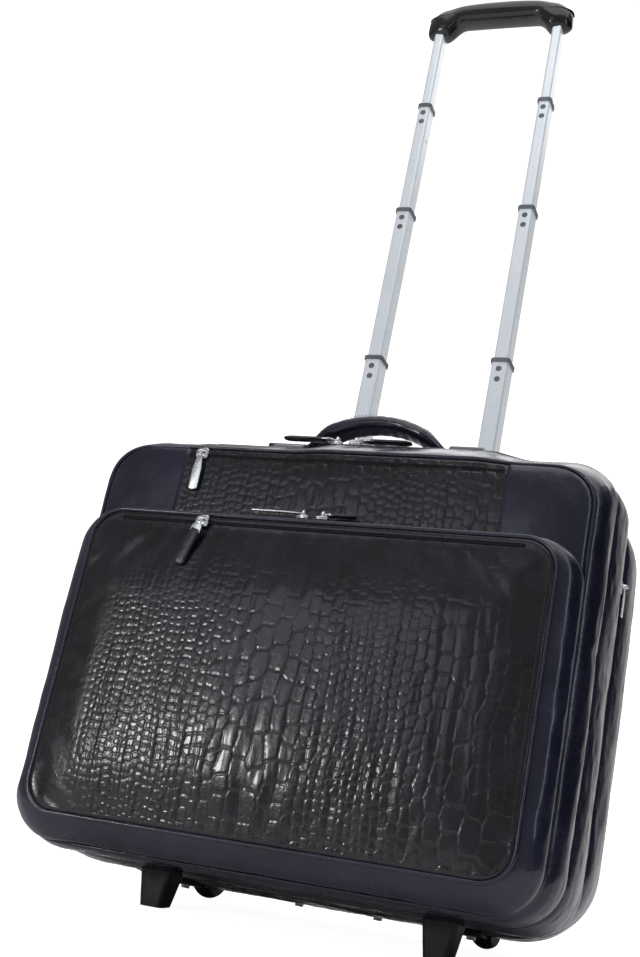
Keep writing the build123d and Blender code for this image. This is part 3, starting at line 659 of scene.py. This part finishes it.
def rows_between(outline, step, fine_from=None):
    """Heights of a panel's rows, closer together where its corners turn."""
    _, bottom, top, corner = outline
    turn = corner * (1 - np.cos(np.linspace(0, np.pi / 2, max(int(corner / step * 1.2), 6))))
    middle = np.arange(bottom + corner, top - corner, step)[1:]
    if fine_from is not None:
        coarse = np.arange(bottom + corner, fine_from, 8 * MM)[1:]
        middle = np.concatenate([coarse, middle[middle > fine_from]])
    middle = middle[middle < top - corner - 0.4 * step]
    return np.concatenate([bottom + turn, middle, top - turn[::-1]])


def puffed_panel(outline, face, crown, reach, growth, cap, held=None, way=-1):
    """A coarse padded panel that has swollen between its edges, to the front (way -1) or the back.
    Returns its depth as a function of X and Z."""
    _, bottom, top, _ = outline
    x, z = panel_grid(outline, 64, np.linspace(bottom, top, 46))
    inside = border_distance(x, z, *outline)
    y = face + way * crown * smooth(0, reach, inside)
    pinned = inside < 4 * MM
    if held is not None:
        pinned |= held(x, z)
    sheet = stacked(x if way < 0 else -x, y, z)
    depth = inflate(sheet, False, pinned, 4.0, growth, cap)[..., 1]
    if way > 0:
        depth = depth[:, ::-1]

    def depth_at(px, pz):
        column = np.clip((px / half_width(pz, *outline) + 1) / 2, 0, 1)
        row = np.clip((pz - bottom) / (top - bottom), 0, 1)
        rows = spline_weights(depth.shape[0], row.ravel(), False)
        columns = spline_weights(depth.shape[1], column.ravel(), False)
        return np.einsum("ai,ij,aj->a", rows, depth, columns, optimize=True)

    return depth_at


def depths(depth_at, x, z):
    """A panel's depth over a grid, one row at a time."""
    return np.array([depth_at(row_x, row_z) for row_x, row_z in zip(x, z)])


def tuck(y, x, z, outline, way=-1, reach=3.5 * MM, drop=2.6 * MM):
    """Turns a panel's edge back into its seam."""
    inside = np.clip(border_distance(x, z, *outline), 0, reach)
    return y - way * drop * (1 - np.sqrt(np.clip(1 - (1 - inside / reach) ** 2, 0, 1)))


def embossed_face(name, stands_for, outline, depth_at, step, strength, seed, fine_from=None):
    heights = rows_between(outline, step, fine_from)
    x, z = panel_grid(outline, int(2 * outline[0] / step), heights)
    groove, crown = croc(x, z, seed)
    amount = strength(x, z) * smooth(1 * MM, 6 * MM, border_distance(x, z, *outline))
    wander = x + 5 * MM * lattice_noise(stacked(0, x / 3, z), 45 * MM, seed + 3)
    streaks = lattice_noise(stacked(wander, 0, z / 7), 4.5 * MM, seed + 4)
    y = depths(depth_at, x, z) + (0.38 * groove - 0.07 * crown + 0.26 * streaks) * MM * amount
    sheet = stacked(x, tuck(y, x, z, outline), z)
    # the groove attribute paints shade into the grooves' colour and makes them duller
    add_sheet(name, sheet, False, "croc_patent", stands_for=stands_for, grooves=groove * amount)


# ------ front pocket's face
slip_low, slip_high = upright_box("slip_slider")
slip_z = (slip_low[2] + slip_high[2]) / 2
pocket_outline = panel_outline(pocket_low, pocket_high, pocket_corner)
pocket_depth = puffed_panel(
    pocket_outline,
    pocket_low[1] + 0.6 * MM,
    crown=3 * MM,
    reach=95 * MM,
    growth=0.004,
    cap=5 * MM,
    held=lambda x, z: z > slip_z - 6 * MM,
)


def pocket_strength(x, z):
    """The embossing fades towards the pocket's top and towards its left edge."""
    height = (z - pocket_low[2]) / (pocket_high[2] - pocket_low[2])
    ragged = 0.06 * lattice_noise(stacked(x, z, 0), 30 * MM, 5)
    fade_up = 1 - 0.85 * smooth(0.62, 0.86, height + ragged)
    fade_left = smooth(-166 * MM, -136 * MM, x + 0.2 * ragged)
    return fade_up * (0.02 + 0.98 * fade_left)


embossed_face("pocket_face", "pocket_panel", pocket_outline, pocket_depth, 1.0 * MM, pocket_strength, 3)


# ------ front panel, with side strips
front_outline = panel_outline(front_low, front_high, case_corner)
front_depth = puffed_panel(front_outline, front_low[1] + 0.6 * MM, 1.5 * MM, 60 * MM, 0.002, 2.5 * MM)
strip_edge = 139 * MM


def front_strength(x, z):
    """The embossing ends under the side strips and short of the top."""
    between_strips = 1.0 - smooth(strip_edge - 1 * MM, strip_edge + 1 * MM, np.abs(x))
    return between_strips * (1 - smooth(355 * MM, 359 * MM, z))


seen_from = pocket_high[2] - 25 * MM
embossed_face("front_face", "front_panel", front_outline, front_depth, 1.1 * MM, front_strength, 8, seen_from)


def front_strip(way, side):
    """A smooth strip sewn over the embossed panel's end, with a folded edge."""
    rise, turn, fold = 1.6 * MM, 2.5 * MM, 0.3 * MM
    heights = rows_between(front_outline, 5 * MM)
    length = np.maximum(half_width(heights, *front_outline) - strip_edge, 1 * MM)
    across = np.concatenate([[0, 0.004, 0.012, 0.025, 0.045], np.linspace(0.07, 1, 26)])
    x, z = np.broadcast_arrays(side * (strip_edge + length[:, None] * across), heights[:, None])
    y = tuck(depths(front_depth, x, z), x, z, front_outline)
    beyond = np.abs(x) - strip_edge
    y = y - rise * smooth(0, turn, beyond) + 1.2 * MM * (1 - smooth(0, fold, beyond))
    y = y - 0.25 * MM * lattice_noise(stacked(x, y, z), 25 * MM, 77)
    add_sheet("front_strip_" + way, stacked(x, y, z)[:, ::side], False, LEATHER)


for way, side in SIDES:
    front_strip(way, side)

# ------ back panel
back_outline = panel_outline(back_low, back_high, rear_corner)
back_depth = puffed_panel(back_outline, back_high[1] - 1 * MM, 1.2 * MM, 70 * MM, 0.003, 2.5 * MM, way=1)


def back_face():
    x, z = panel_grid(back_outline, 140, rows_between(back_outline, 3 * MM))
    y = depths(back_depth, x, z)
    y = y + 0.4 * MM * lattice_noise(stacked(x, y, z), 33 * MM, 55)
    sheet = stacked(x, tuck(y, x, z, back_outline, way=1), z)[:, ::-1]
    add_sheet("back_face", sheet, False, LEATHER, stands_for="back_panel", hole=wheel_recess)


back_face()


# ------ piping, stitches and zips
def outline_path(section, y, inset):
    """A seam's outline at depth y, a little inside the seam."""
    _, half, bottom, top, corner = section
    flat = rounded_outline(half - inset, bottom + inset, top - inset, corner - inset)
    return stacked(flat[:, 0], y, flat[:, 1])


def piping(name, section, y, radius, inset):
    """A leather-covered cord along a seam."""
    path = resample(outline_path(section, y, inset), 3 * MM, True)
    wobble = 0.12 * MM * lattice_noise(path, 9 * MM, len(name))
    path = path + outward(path) * wobble[:, None]
    add_mesh(name, *tube(path, outward(path), True, ring_section(radius)), LEATHER)


for name, section, y, radius, inset in (
    ("pocket_piping", pocket_seam, pocket_low[1] + 1.6 * MM, 1.7, 0.6),
    ("front_piping", front_seam, front_low[1] + 1.4 * MM, 1.7, 0.4),
    ("back_piping", back_seam, back_high[1] - 2.6 * MM, 1.8, 0.2),
    ("main_piping_front", main_front, main_front[0] - 0.9 * MM, 1.1, 0.6),
    ("main_piping_back", main_back, main_back[0] + 0.9 * MM, 1.1, 0.6),
    ("rear_piping_front", rear_front, rear_front[0] - 0.9 * MM, 1.1, 0.6),
    ("rear_piping_back", main_back, rear_back[0] + 0.9 * MM, 1.1, 0.6),
):
    piping(name, section, y, radius * MM, inset * MM)

STITCH_RING = ((0.28, 0), (0, 0.28), (-0.28, 0), (0, -0.1))
STITCH = np.array([[a, b, c] for a in (-1.15, 1.15) for b, c in STITCH_RING]) * MM
SQUARE = ((-1, -1), (1, -1), (1, 1), (-1, 1))


def stitches(name, path, normals, body="case", closed=False, pitch=3.4 * MM, lift=0.1 * MM):
    """A row of stitches along a path."""
    spots, tangent, side, out = local_frames(path, pitch, closed, normals)
    add_mesh(name, *many(STITCH, spots + out * lift, tangent, side, out), "thread", body)


def zip_chain(name, path, normals, tape, stands_for=None, pitch=2.1 * MM, size=1.0):
    """Woven tape with a slit down its middle, and the interlocking teeth over the slit. A chain with
    no normals runs all the way round an outline."""
    closed = normals is None
    spots, tangent, side, out = local_frames(path, pitch, closed, normals)
    across = np.linspace(-tape, tape, 9)
    sag = -0.5 * MM * np.exp(-((across / (1.2 * MM)) ** 2))
    strip = spots[None] + across[:, None, None] * side[None] + sag[:, None, None] * out[None]
    add_sheet(name + "_tape", strip[::-1], closed, "zip_tape", stands_for=stands_for)
    length, height, width = 0.72 * MM * size, 1.2 * MM * size, 1.9 * MM * size
    foot = [[a * length, b * width, 0] for a, b in SQUARE]
    tip = [[a * length * 0.6, b * width * 0.8, height] for a, b in SQUARE]
    alternate = np.where(np.arange(len(spots)) % 2, 1.0, -1.0)[:, None] * 0.8 * MM * size
    teeth = many(np.array(foot + tip), spots + side * alternate, tangent, side, out)
    add_mesh(name + "_teeth", *teeth, "zip_teeth", flat=True)


for name, section in (("main_zip", main_front), ("rear_zip", rear_front)):
    low, high = upright_box(name)
    zip_chain(name, outline_path(section, (low[1] + high[1]) / 2, 2.2 * MM), None, 4.6 * MM, name)

front_zip_low, front_zip_high = upright_box("front_zip")
slip_zip_low, slip_zip_high = upright_box("pocket_zip")
pocket_slider_low, pocket_slider_high = upright_box("pocket_left_slider")
chain_top, end_gap, fine_pitch = 0.9 * MM, 12 * MM, 1.4 * MM
front_ends = (front_zip_low[0] + end_gap, front_zip_high[0] - end_gap)
front_z = (front_zip_low[2] + front_zip_high[2]) / 2
pocket_ends = (slip_zip_low[0], slip_zip_high[0])
pocket_y = (pocket_slider_low[1] + pocket_slider_high[1]) / 2
front_chain = straight(*front_ends, front_zip_high[1] - chain_top, front_z)
slip_chain = straight(*pocket_ends, slip_zip_low[1] + chain_top, slip_z)
pocket_chain = straight(*pocket_ends, pocket_y, slip_zip_high[2] - 1.0 * MM)
zip_chain("front_zip", front_chain, FRONT, 1.6 * MM, "front_zip", fine_pitch, 0.55)
zip_chain("slip_zip", slip_chain, FRONT, 1.3 * MM, None, fine_pitch, 0.5)
zip_chain("pocket_zip", pocket_chain, UP, 3.4 * MM, "pocket_zip")


def panel_stitches():
    """The rows sewn along the pocket's edge below its slip zip, the front strips and the back panel."""
    row = outline_path(pocket_seam, 0.0, 6 * MM)
    row[:, 1] = pocket_depth(row[:, 0], row[:, 2]) - 0.1 * MM
    below_zip = row[:, 2] < slip_z - 9 * MM
    first = int(np.flatnonzero(below_zip & ~np.roll(below_zip, 1))[0])
    stitches("pocket_stitches", np.roll(row, -first, 0)[: int(below_zip.sum())], FRONT)
    z = np.linspace(pocket_high[2] - 6 * MM, front_high[2] - 3 * MM, 30)
    for way, side in SIDES:
        x = np.full(len(z), side * (strip_edge + 3.6 * MM))
        stitches("front_stitches_" + way, stacked(x, front_depth(x, z) - 1.7 * MM, z), FRONT)
    row = outline_path(back_seam, 0.0, 9 * MM)
    row[:, 1] = back_depth(row[:, 0], row[:, 2]) + 0.1 * MM
    stitches("back_stitches", row, BACK, closed=True)


panel_stitches()

# ------ carry handle
handle_pivot = upright(joints["handle_fold"]["pos_m"])
anchors_low, anchors_high = upright_box("handle_anchors")


def carry_handle():
    """A padded arch with piped, stitched edges, on two leather loops that turn in its anchors."""
    low, high = upright_box("carry_handle")
    pivot_y, pivot_z = handle_pivot[1:]
    half, thick, wide = 62 * MM, 6.2 * MM, (high[1] - low[1]) / 2
    rise = high[2] - thick - pivot_z
    radius = (half**2 + rise**2) / (2 * rise)
    reach = math.asin(half / radius)
    angle = np.linspace(-reach, reach, 70)
    normals = stacked(np.sin(angle), 0, np.cos(angle))
    arch_z = pivot_z + rise - radius + radius * np.cos(angle)
    path = stacked(radius * np.sin(angle), pivot_y, arch_z)
    along = np.linspace(-1, 1, len(angle))
    ends = smooth(0.62, 0.98, np.abs(along))
    depth = thick * (1 - 0.45 * ends) * (1 + 0.03 * np.sin(along * 40))
    # narrow enough near the ends to clear the case's top when the handle folds over
    width = np.clip(arch_z - pivot_z - depth + 6 * MM, 3.8 * MM, wide)
    turn = full_turn(40)
    round_x, round_y = squarish(turn, 0.62, 0.62)
    lip = 1 + 0.05 * np.exp(-((np.abs(np.cos(turn)) - 1) ** 2) / 0.002)
    section = stacked(width[:, None] * round_x * lip, depth[:, None] * round_y)
    points, faces = tube(path, normals, False, section)
    points = points + 0.25 * MM * lattice_noise(points, 12 * MM, 91)[:, None]
    add_mesh("carry_handle_pad", points, faces, LEATHER, "handle", "carry_handle")
    for way, side in (("front", -1), ("back", 1)):
        rim = path + np.outer(side * (width - 2.6 * MM), BACK)
        rim = rim + normals * depth[:, None] * 0.93
        stitches("handle_stitches_" + way, rim[8:-8], normals[8:-8], "handle")
        edge = path + np.outer(side * width * 1.01, BACK)
        cord = tube(edge, normals, False, ring_section(1.2 * MM))
        add_mesh("handle_piping_" + way, *cord, LEATHER, "handle")
    for way, side in SIDES:
        inner, outer = side * (half - 3 * MM), side * (anchors_high[0] - 5 * MM)
        pin = tube(straight(inner, outer, pivot_y, pivot_z, 2), UP, False, ring_section(2.9 * MM, 20))
        add_mesh("handle_loop_" + way, *pin, LEATHER, "handle", bevel=(0.6 * MM, 2, 35))


carry_handle()


def grip():
    """The trolley's grip: a crowned bar whose ends hook down over the tubes, in two shells."""
    low, _ = upright_box("grip_lower")
    split, high = upright_box("grip_upper")
    button_low, button_high = upright_box("release_button")
    middle_y, half, reach = (low[1] + high[1]) / 2, high[0], (high[1] - low[1]) / 2
    crown, hook_length, cap = 11 * MM, 16 * MM, 20 * MM
    x = half * np.sin(np.linspace(-np.pi / 2, np.pi / 2, 220)) * 0.9995
    distance = np.abs(x)
    top = high[2] - crown * (distance / half) ** 2.4
    hook = smooth(half - 42 * MM, half - cap, distance) ** 1.6
    bottom = low[2] + hook_length * (1 - hook)
    rounding = np.sqrt(np.clip(1 - (np.maximum(distance - half + cap, 0) / cap) ** 2, 0.0004, 1))[:, None]
    across, up = squarish(full_turn(150), 0.8, 0.8)
    centre, tall = (top + bottom) / 2, (top - bottom) / 2
    y = middle_y + reach * (0.55 + 0.45 * rounding) * across[None] * rounding**0.5
    z = centre[:, None] + tall[:, None] * up[None] * np.where(up > 0, rounding, rounding**0.3)
    # the button's opening, a slot with round ends
    slot, slot_reach = (button_high - button_low)[1] / 2 - 1.6 * MM, 17.2 * MM
    along = np.maximum(distance[:, None] - (slot_reach - slot), 0)
    opening = (np.hypot(along, y - middle_y) < slot) & (z > high[2] - 8 * MM)
    z = np.where(opening, z - 4 * MM, z)
    faces = [face[::-1] for face in capped_faces(*z.shape)]
    # the shells leave a fine gap between them
    upper, lower = np.maximum(z, split[2] + 0.05 * MM), np.minimum(z, split[2] - 0.25 * MM)
    for name, stands_for, shell in (("grip_top", "grip_upper", upper), ("grip_base", "grip_lower", lower)):
        points = stacked(x[:, None], y, shell).reshape(-1, 3)
        add_mesh(name, points, faces, "grip_plastic", "top_stage", stands_for)


grip()


def handle_tab(way, side):
    """A leather tab stitched to the top, folded up over the handle's end."""
    pivot_y, pivot_z = handle_pivot[1:]
    inner, outer = side * (anchors_high[0] - 40 * MM), side * anchors_high[0]
    base, plate, radius = anchors_low[2] - 0.4 * MM, 2.4 * MM, 7.4 * MM
    reach = (anchors_high[1] - anchors_low[1]) / 2
    plate_top, rim = base + plate, base + plate * 0.6
    angle = np.radians(np.linspace(-55, 235, 30))
    flank = [(reach, base), (reach, rim), (radius + 2 * MM, plate_top)]
    loop = [(radius * math.cos(a), pivot_z + radius * math.sin(a)) for a in angle]
    profile = flank + loop + [(-y, z) for y, z in reversed(flank)]
    points = []
    for along in np.linspace(0, 1, 17):
        x = inner + along * (outer - inner)
        rounding = 1 - 0.10 * smooth(0.75, 1.0, abs(2 * along - 1))
        slope = 1 - 0.8 * smooth(0.70, 1.0, along)
        for y, z in profile:
            raised = plate_top + (z - plate_top) * slope if z > plate_top else z
            points.append((x, pivot_y + y * rounding, raised))
    faces = [face[::side] for face in capped_faces(len(points) // len(profile), len(profile))]
    stands_for = "handle_anchors" if side > 0 else None
    add_mesh("handle_tab_" + way, points, faces, LEATHER, "case", stands_for, bevel=(0.5 * MM, 2, 50))
    for row, offset in enumerate((-1, 1)):
        low_x, high_x = min(inner, outer) + 2 * MM, max(inner, outer) - 2 * MM
        path = straight(low_x, high_x, pivot_y + offset * (reach - 2.4 * MM), base + plate * 0.75, 12)
        stitches(f"tab_stitches_{way}_{row}", path, UP, lift=0.3 * MM)


for way, side in SIDES:
    handle_tab(way, side)


# ------ zip sliders and pulls
def local_frame(name):
    """The crossbar's centre, and unit vectors: the way the pull lies, across it, and off the chain."""
    swing = joints[name + "_pull_swing"]
    centre = upright(swing["pos_m"])
    hinge = upright(swing["axis"])
    low, high = upright_box(name + "_pull")
    lie = (low + high) / 2 - centre
    lie -= hinge * (lie @ hinge)
    lie /= np.linalg.norm(lie)
    return centre, lie, -hinge, np.cross(hinge, lie)


def place(points, frame_of):
    centre, *axes = frame_of
    return centre + np.asarray(points, float) @ np.array(axes)


def prism(outline, low, high):
    """A flat plate with this outline, as points and faces."""
    return [(x, y, z) for z in (low, high) for x, y in outline], capped_faces(2, len(outline))


def join(*shapes):
    points, faces = [], []
    for shape_points, shape_faces in shapes:
        faces += [[index + len(points) for index in face] for face in shape_faces]
        points += list(shape_points)
    return points, faces


CROSSBAR = 5.2 * MM  # height of a pull's hinge above the chain
# half a slider's outline, in millimetres
SLIDER_EDGE = ((-5.4, 3.4), (-3.6, 4.9), (0.8, 4.8), (5.0, 3.4), (5.8, 1.8))


def slider(name):
    """A zip slider: a waisted body, its lower flanges, and the bridge that holds the pull."""
    frame_of = local_frame(name)
    slide = upright(joints[name + "_zip_slide"]["axis"])
    edge = [(x * MM, y * MM) for x, y in SLIDER_EDGE]
    outline = edge + [(x, -y) for x, y in reversed(edge)]
    if abs(slide @ frame_of[1]) <= 0.5:  # the pull hangs across the chain
        outline = [(y, -x) for x, y in outline]
    plate = prism(outline, 1.5 * MM - CROSSBAR, 2.7 * MM - CROSSBAR)
    skirt = prism([(x * 0.94, y * 0.94) for x, y in outline], 0.2 * MM - CROSSBAR, 1.6 * MM - CROSSBAR)
    angle = np.linspace(0, np.pi, 13)
    normals = stacked(0, np.cos(angle), np.sin(angle))
    foot = 2.5 * MM - CROSSBAR
    bridge = normals * (1, 3.0 * MM, 2.3 * MM - foot) + (0, 0, foot)
    points, faces = join(plate, skirt, tube(bridge, normals, False, ring_section(1.25 * MM, 12, 0.85)))
    owner = name + "_slider"
    points, bevel = place(points, frame_of), (0.35 * MM, 2, 35)
    add_mesh(owner + "_body", points, faces, "zip_metal", owner, owner, bevel=bevel)


def pull(name, leather, slant):
    """The pull: an eye on the bridge, then a metal bar, or a leather tab in a metal frame. It may hang
    aslant towards the case's left."""
    owner = name + "_pull"
    centre, lie, across, off = local_frame(name)
    box = upright_box(owner)
    corners = np.array([[box[i][0], box[j][1], box[k][2]] for i, j, k in np.ndindex(2, 2, 2)]) - centre
    length, width, thick = ((corners @ way).max() for way in (lie, across, off))
    thick *= 0.8 if leather else 0.6
    aside = across if across[0] < 0 else -across
    lie = math.cos(slant) * lie + math.sin(slant) * aside
    frame_of = (centre, lie, np.cross(off, lie), off)
    angle = full_turn(28)
    eye_path = stacked(1.2 * MM + 2.6 * MM * np.cos(angle), 1.9 * MM * np.sin(angle), 0)
    eye = tube(eye_path, UP, True, ring_section(0.62 * MM, 10))
    metal_start, metal_end = 3.4 * MM, 0.30 * length if leather else length
    steps = np.linspace(0, 1, 9)
    waist = width * (0.62 + 0.38 * smooth(0.0, 0.45, steps))
    edge = list(zip(metal_start + (metal_end - metal_start) * steps, waist))
    edge[-1] = (edge[-1][0] - 1 * MM, edge[-1][1])
    edge.append((metal_end - 0.6 * MM, 0.0) if leather else (length, width * 0.5))
    outline = edge + [(x, -y) for x, y in reversed(edge) if y > 0]
    points, faces = join(eye, prism(outline[::-1], -thick * 0.55, thick * 0.55))
    points, bevel = place(points, frame_of), (0.45 * MM, 3, 35)
    add_mesh(owner + "_metal", points, faces, "zip_metal", owner, owner, bevel=bevel)
    if not leather:
        return
    t = np.linspace(0, 1, 26)
    rows = np.linspace(metal_end * 0.72, length, len(t))
    end = np.sqrt(np.clip(1 - smooth(0.86, 1.06, t) ** 2, 0.05, 1))
    half = width * (0.86 + 0.14 * smooth(0, 0.2, t)) * end
    body = thick * (1.0 - 0.35 * smooth(0.8, 1.0, t))
    ring_x, ring_y = squarish(angle, 0.45, 0.6)
    section = stacked(half[:, None] * ring_x, body[:, None] * ring_y)
    points, faces = tube(stacked(rows, 0, 0), UP, False, section)
    tab = place(points, frame_of)
    tab = tab + off * (0.15 * MM * lattice_noise(tab, 6 * MM, 19))[:, None]
    add_mesh(owner + "_leather", tab, faces, "pull_leather", owner)
    for row, side in enumerate((-1, 1)):
        line = stacked(rows, side * (half - 1.3 * MM), body * 0.98)[3:-3]
        seam_line = place(line, frame_of)
        stitches(f"{owner}_stitches_{row}", seam_line, off, owner, pitch=2.6 * MM, lift=0.05 * MM)


for name in ("front", "slip", "pocket_left", "pocket_right", "main_left", "main_right", "side"):
    slider(name)
    pull(name, name not in ("front", "pocket_left", "side"), math.radians(16 if name == "slip" else 0))

# ------ floor, light and camera
bounds_low, bounds_high = (Vector(corner) for corner in cad_box)
middle = (bounds_low + bounds_high) / 2


def stage_sheet(name, points, faces, material, smooth_shaded):
    """A sheet of the studio, which isn't part of the object."""
    mesh = bpy.data.meshes.new(name)
    mesh.from_pydata(points, [], faces)
    if smooth_shaded:
        mesh.shade_smooth()
    mesh.materials.append(material)
    sheet = linked(name, mesh)
    return sheet


def studio_floor():
    """A pale floor that curves up behind the case, and glows towards the camera alone."""
    look = Look("studio_floor", Roughness=0.9, Emission_Color=WHITE)
    shade = look.ramp(look.noise(3.0), 0.3, 0.7, 0.0, 1.0)
    material = look.set(
        Base_Color=look.mix(shade, (0.90, 0.90, 0.90), (0.92, 0.92, 0.92)),
        Emission_Strength=look.math("MULTIPLY", look.add("LightPath", {})["Is Camera Ray"], 0.95),
    )
    reach, back, top, bend, ground = 6.0, 3.2, 4.0, 1.2, bounds_low.z - 0.5 * MM
    profile = [(-reach, ground)]
    for a in np.radians(np.linspace(0, 90, 24)):
        profile.append((back + bend * math.sin(a), ground + bend * (1 - math.cos(a))))
    profile.append((back + bend, top))
    points = [(x, y, z) for y, z in profile for x in (-reach, reach)]
    faces = [(2 * k, 2 * k + 1, 2 * k + 3, 2 * k + 2) for k in range(len(profile) - 1)]
    stage_sheet("studio_floor", points, faces, material, True)


def black_card():
    """A dark card to the case's right, out of the camera's sight, that keeps its side wall dark."""
    look = Look("black_card", Roughness=1.0)
    material = look.set(Base_Color=look.ramp(look.noise(20.0), 0.0, 1.0, 0.004, 0.010))
    x, front, back, bottom, top = 1.25, -1.3, 1.2, 0.01, 1.5
    points = [(x, front, bottom), (x, back, bottom), (x, back, top), (x, front, top)]
    card = stage_sheet("black_card", points, [(0, 1, 2, 3)], material, False)
    card.visible_camera = False


def world(seen, around):
    """A plain white backdrop to the camera, and a dimmer room to everything else."""
    sky = bpy.data.worlds.new("studio")
    bpy.context.scene.world = sky
    sky.use_nodes = True
    nodes, links = sky.node_tree.nodes, sky.node_tree.links
    path = nodes.new("ShaderNodeLightPath")
    strength = nodes.new("ShaderNodeMix")
    strength.inputs[2].default_value = around
    strength.inputs[3].default_value = seen
    links.new(path.outputs["Is Camera Ray"], strength.inputs[0])
    links.new(strength.outputs[0], nodes["Background"].inputs["Strength"])
    nodes["Background"].inputs["Color"].default_value = WHITE


def soft_light(name, place_at, target, size, power, tint=(1, 1, 1)):
    data = bpy.data.lights.new(name, "AREA")
    data.shape = "RECTANGLE"
    data.size, data.size_y = size
    data.energy = power
    data.color = tint
    lamp = linked(name, data)
    lamp.location = place_at
    lamp.rotation_euler = (Vector(target) - Vector(place_at)).to_track_quat("-Z", "Y").to_euler()


studio_floor()
black_card()
world(1.0, 0.2)
soft_light("overhead", (0.2, -0.3, 2.6), middle, (2.6, 2.6), 26, (0.93, 0.95, 1.0))
soft_light("key", (-1.22, -1.97, 0.58), (-0.10, -0.19, 0.10), (0.28, 0.24), 7)
soft_light("front_fill", (-0.8, -2.15, 1.3), middle, (0.9, 0.7), 1.8, (0.80, 0.86, 1.0))
soft_light("rim", (1.0, -0.7, 0.8), (0.2, 0.0, 0.25), (0.08, 1.0), 1.2, (0.80, 0.88, 1.0))
soft_light("floor_wash", (0.0, 2.2, 2.4), (0.0, 2.2, 0.0), (3.0, 3.0), 40)

camera_data = bpy.data.cameras.new("camera")
camera_data.lens = 53.7
camera_data.sensor_width = 36.0
camera = linked("camera", camera_data)
camera_place = (0.4302, -1.1716, 0.1448)
look_left, look_up, roll = (math.radians(angle) for angle in (22.86, 10.52, -7.65))
camera.matrix_world = (
    Matrix.Translation(camera_place)
    @ Matrix.Rotation(look_left, 4, "Z")
    @ Matrix.Rotation(math.pi / 2 + look_up, 4, "X")
    @ Matrix.Rotation(-roll, 4, "Z")
)
bpy.context.scene.camera = camera
bpy.context.scene.view_settings.view_transform = "Standard"

bpy.context.view_layer.update()
